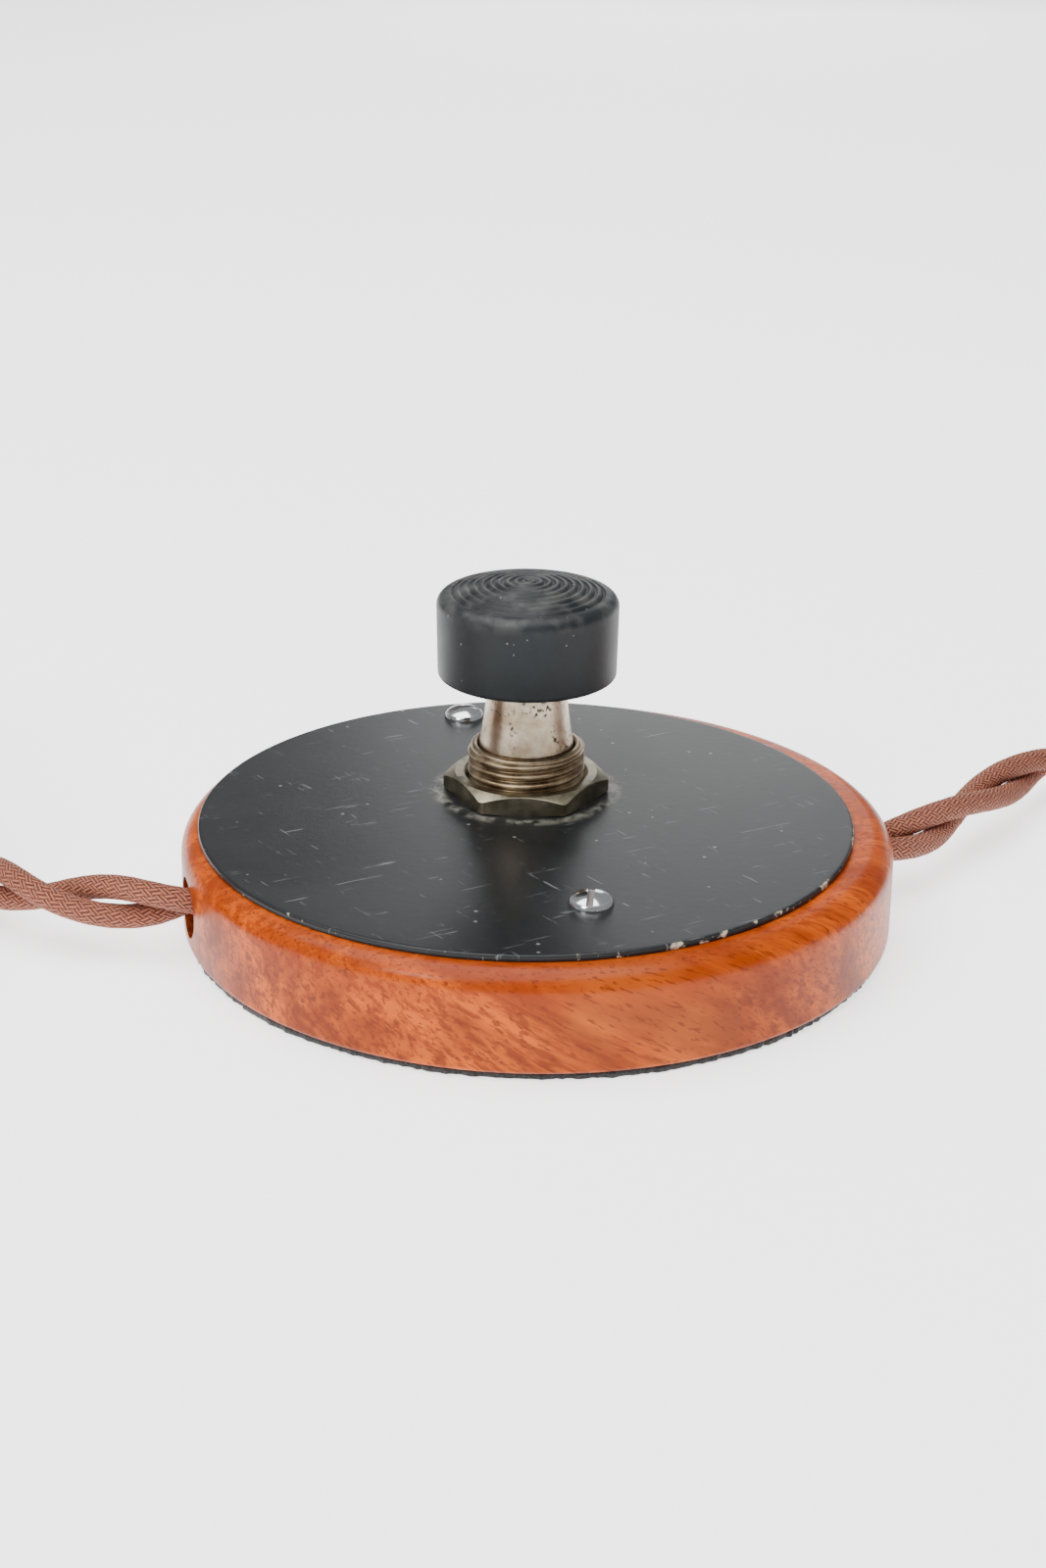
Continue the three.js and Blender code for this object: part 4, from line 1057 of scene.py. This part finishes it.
def make_screw(node, slot_degrees):
    """Head: the top of a ball, r = R cos a, z = h sin a; below it, a plain shank."""
    centre, low, high = middle(node)
    radius, shank, point = 3.0 * MM, 1.4 * MM, 1.6 * MM
    dome = high - plate_high
    quarter = np.linspace(0, math.pi / 2, 20)
    head = [(radius * math.cos(a), plate_high + dome * math.sin(a) ** 0.92) for a in quarter]
    profile = [(0.0, low), (shank, low + point), (shank, plate_high)] + head
    screw = turned(node.replace("plate", "bright"), profile, centre, columns=96)
    angle = math.radians(slot_degrees)
    saw = block_cutter(node + "_saw", centre, 9 * MM, 0.95 * MM,
                       high - 0.95 * MM, high + 1 * MM, angle)
    return cut_with(screw, [saw])


def make_bright_metal():
    """Polished plate, faintly rippled, with brown dirt and painted shade deep in the slot."""
    material, tree, shader = new_material("bright_screw_plate")
    place = object_place(tree)
    cloud = noise(tree, place, 500.0, 3.0)
    tone = mix_colour(tree, cloud, (196, 198, 202), (232, 233, 235))
    # Brown dirt and painted shade: the floor of the slot is darkened and made dull.
    slot_floor = span(tree, height_of(tree), plate_high + 0.95 * MM, plate_high + 0.70 * MM)
    front, rear = [radius_from(tree, middle(node)[0])
                   for node in ("plate_screw_front", "plate_screw_rear")]
    inner = span(tree, math_of(tree, "MINIMUM", front, rear), 2.75 * MM, 2.45 * MM)
    dirt = times(tree, slot_floor, inner)
    feed(tree, shader, {"Base Color": laid_over(tree, tone, dirt, 0.8, (70, 46, 28)),
                        "Metallic": scaled(tree, dirt, -0.9, 1.0),
                        "Roughness": scaled(tree, dirt, 0.5, 0.14),
                        "Normal": bump(tree, cloud, 0.05 * MM, 0.3)})
    return material


bright_metal = make_bright_metal()
for node, slot_degrees in (("plate_screw_front", 84), ("plate_screw_rear", 20)):
    take_place(make_screw(node, slot_degrees), node, "switch", bright_metal)


# %% [markdown]
# ## The hidden pieces
#
# The parts inside keep their designed solids, except for the spring. They still get
# proper finishes, because somebody may take the object apart.

# %% Inner finishes
def make_inner(name, dark, light, rough, metal, scale, relief=0.03, coat=0.0):
    """One short finish: two tones blended by noise, uneven roughness and a little relief."""
    material, tree, shader = new_material(name)
    place = object_place(tree)
    cloud = noise(tree, place, scale, 4.0, 0.6)
    tone = mix_colour(tree, span(tree, cloud, 0.35, 0.65), dark, light)
    fine = noise(tree, place, scale * 4, 3.0)
    feed(tree, shader, {"Base Color": tone, "Roughness": scaled(tree, cloud, 0.2, rough),
                        "Metallic": metal, "Coat Weight": coat,
                        "Normal": bump(tree, fine, relief * MM, 0.5)})
    return material


# Slot: name, darker and lighter tone, roughness, metal, pattern scale, relief in mm, coat.
INNER_LOOKS = {
    "brass": ("tarnished_brass", (168, 128, 62), (212, 178, 104), 0.22, 1.0, 400.0),
    "brown_phenolic": ("brown_phenolic", (44, 24, 14), (74, 42, 26), 0.24, 0.0, 700.0, 0.03, 0.2),
    "glazed_ceramic": ("glazed_ceramic", (226, 221, 208), (240, 237, 228),
                       0.10, 0.0, 200.0, 0.03, 0.5),
    "spring_steel": ("spring_wire", (140, 140, 138), (186, 186, 184), 0.2, 1.0, 900.0, 0.01),
    "fibre": ("fibre_board", (36, 26, 20), (58, 44, 36), 0.6, 0.0, 500.0, 0.06),
    "waxed_thread": ("waxed_thread", (188, 174, 146), (222, 210, 184),
                     0.5, 0.0, 1800.0, 0.15),
    "live_insulation": ("brown_insulation", (84, 46, 26), (104, 60, 36),
                        0.4, 0.0, 600.0),
    "neutral_insulation": ("blue_insulation", (40, 74, 122), (56, 92, 142),
                           0.4, 0.0, 600.0),
    "coil_tie": ("black_tie", (20, 20, 21), (34, 34, 35), 0.4, 0.0, 900.0),
    "textile_cord": ("braided_wire_end", (150, 86, 64), (196, 132, 104),
                     0.7, 0.0, 1500.0, 0.2),
}
FINISHES = {slot_name: make_inner(*look) for slot_name, look in INNER_LOOKS.items()}
FINISHES.update(worn_nickel=neck_nickel, dull_nickel=nut_nickel, black_phenolic=moulding)


def make_spring():
    """Wire on a helix: axis + R (cos a, sin a), rising evenly through eight turns."""
    low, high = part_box("return_spring")
    wire, turns = 0.35 * MM, 8
    angle = np.linspace(0, 2 * math.pi * turns, turns * 36)
    away = round_axis((0, 0), 1.0, angle, 0.0)
    height = np.linspace(low.z + wire, high.z - wire, len(angle))
    line = round_axis(middle("return_spring")[0], half_width("return_spring") - wire, angle, height)
    return closed_tube(grid_piece("wire_spring", tube_rows(line, away, wire, 10)))


wire_spring = make_spring()
take_place(wire_spring, "return_spring", "switch", FINISHES["spring_steel"])
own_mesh(wire_spring)

replaced = {name for piece in bpy.data.objects for name in piece.get("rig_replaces", [])}
painted = 0
for entry in frame["record"]["subparts"]:
    node, slot_name = entry["node"], entry["material_slot"]
    if node not in replaced:
        paint(frame["nodes"][node] if node in frame["nodes"] else node, FINISHES[slot_name])
        painted += 1
print(painted, "designed solids keep their shape and have a finish")


# %% [markdown]
# ## Floor and light
#
# The object stands on white paper in a bright studio. One large plane and three soft
# area lights are enough: a wide one overhead, one behind for the sheen on the rear of the
# plate, and one in front for the highlight along the wood's edge. The paper also gives
# off a little light, which keeps it near white without a brighter sky.

# %% Floor
def make_floor():
    """A large square of matt white paper at z = 0 that glows a little."""
    reach = 40.0
    corners = [(-reach, -reach, 0.0), (reach, -reach, 0.0), (reach, reach, 0.0), (-reach, reach, 0.0)]
    mesh = bpy.data.meshes.new("paper_floor")
    mesh.from_pydata(corners, [], [(0, 1, 2, 3)])
    floor = new_object("paper_floor", mesh)
    material, tree, shader = new_material("white_paper")
    feed(tree, shader, {"Base Color": (0.90, 0.90, 0.90, 1.0), "Roughness": 0.9,
                        "Emission Color": (1.0, 1.0, 1.0, 1.0), "Emission Strength": 1.7,
                        "Specular IOR Level": 0.1})
    paint(floor, material)


make_floor()


def soft_light(name, place, aim, size, watts):
    """A square area light at a place, turned to face a point."""
    data = bpy.data.lights.new(name, "AREA")
    data.size = size
    data.energy = watts
    light = new_object(name, data)
    light.location = place
    light.rotation_euler = (Vector(aim) - Vector(place)).to_track_quat("-Z", "Y").to_euler()


soft_light("overhead", (-0.2, -0.1, 1.1), (0, 0, 0), 1.3, 26.0)
soft_light("behind", (0.1, 1.3, 0.30), (0, 0, 0.02), 0.4, 1.6)
soft_light("front_left", (-0.7, -0.8, 0.8), (0, 0, 0.02), 0.35, 6.0)

world = bpy.data.worlds.new("studio")
bpy.context.scene.world = world
world.use_nodes = True
sky = world.node_tree.nodes["Background"]
feed(world.node_tree, sky, {"Color": (1.0, 1.0, 1.0, 1.0), "Strength": 0.35})
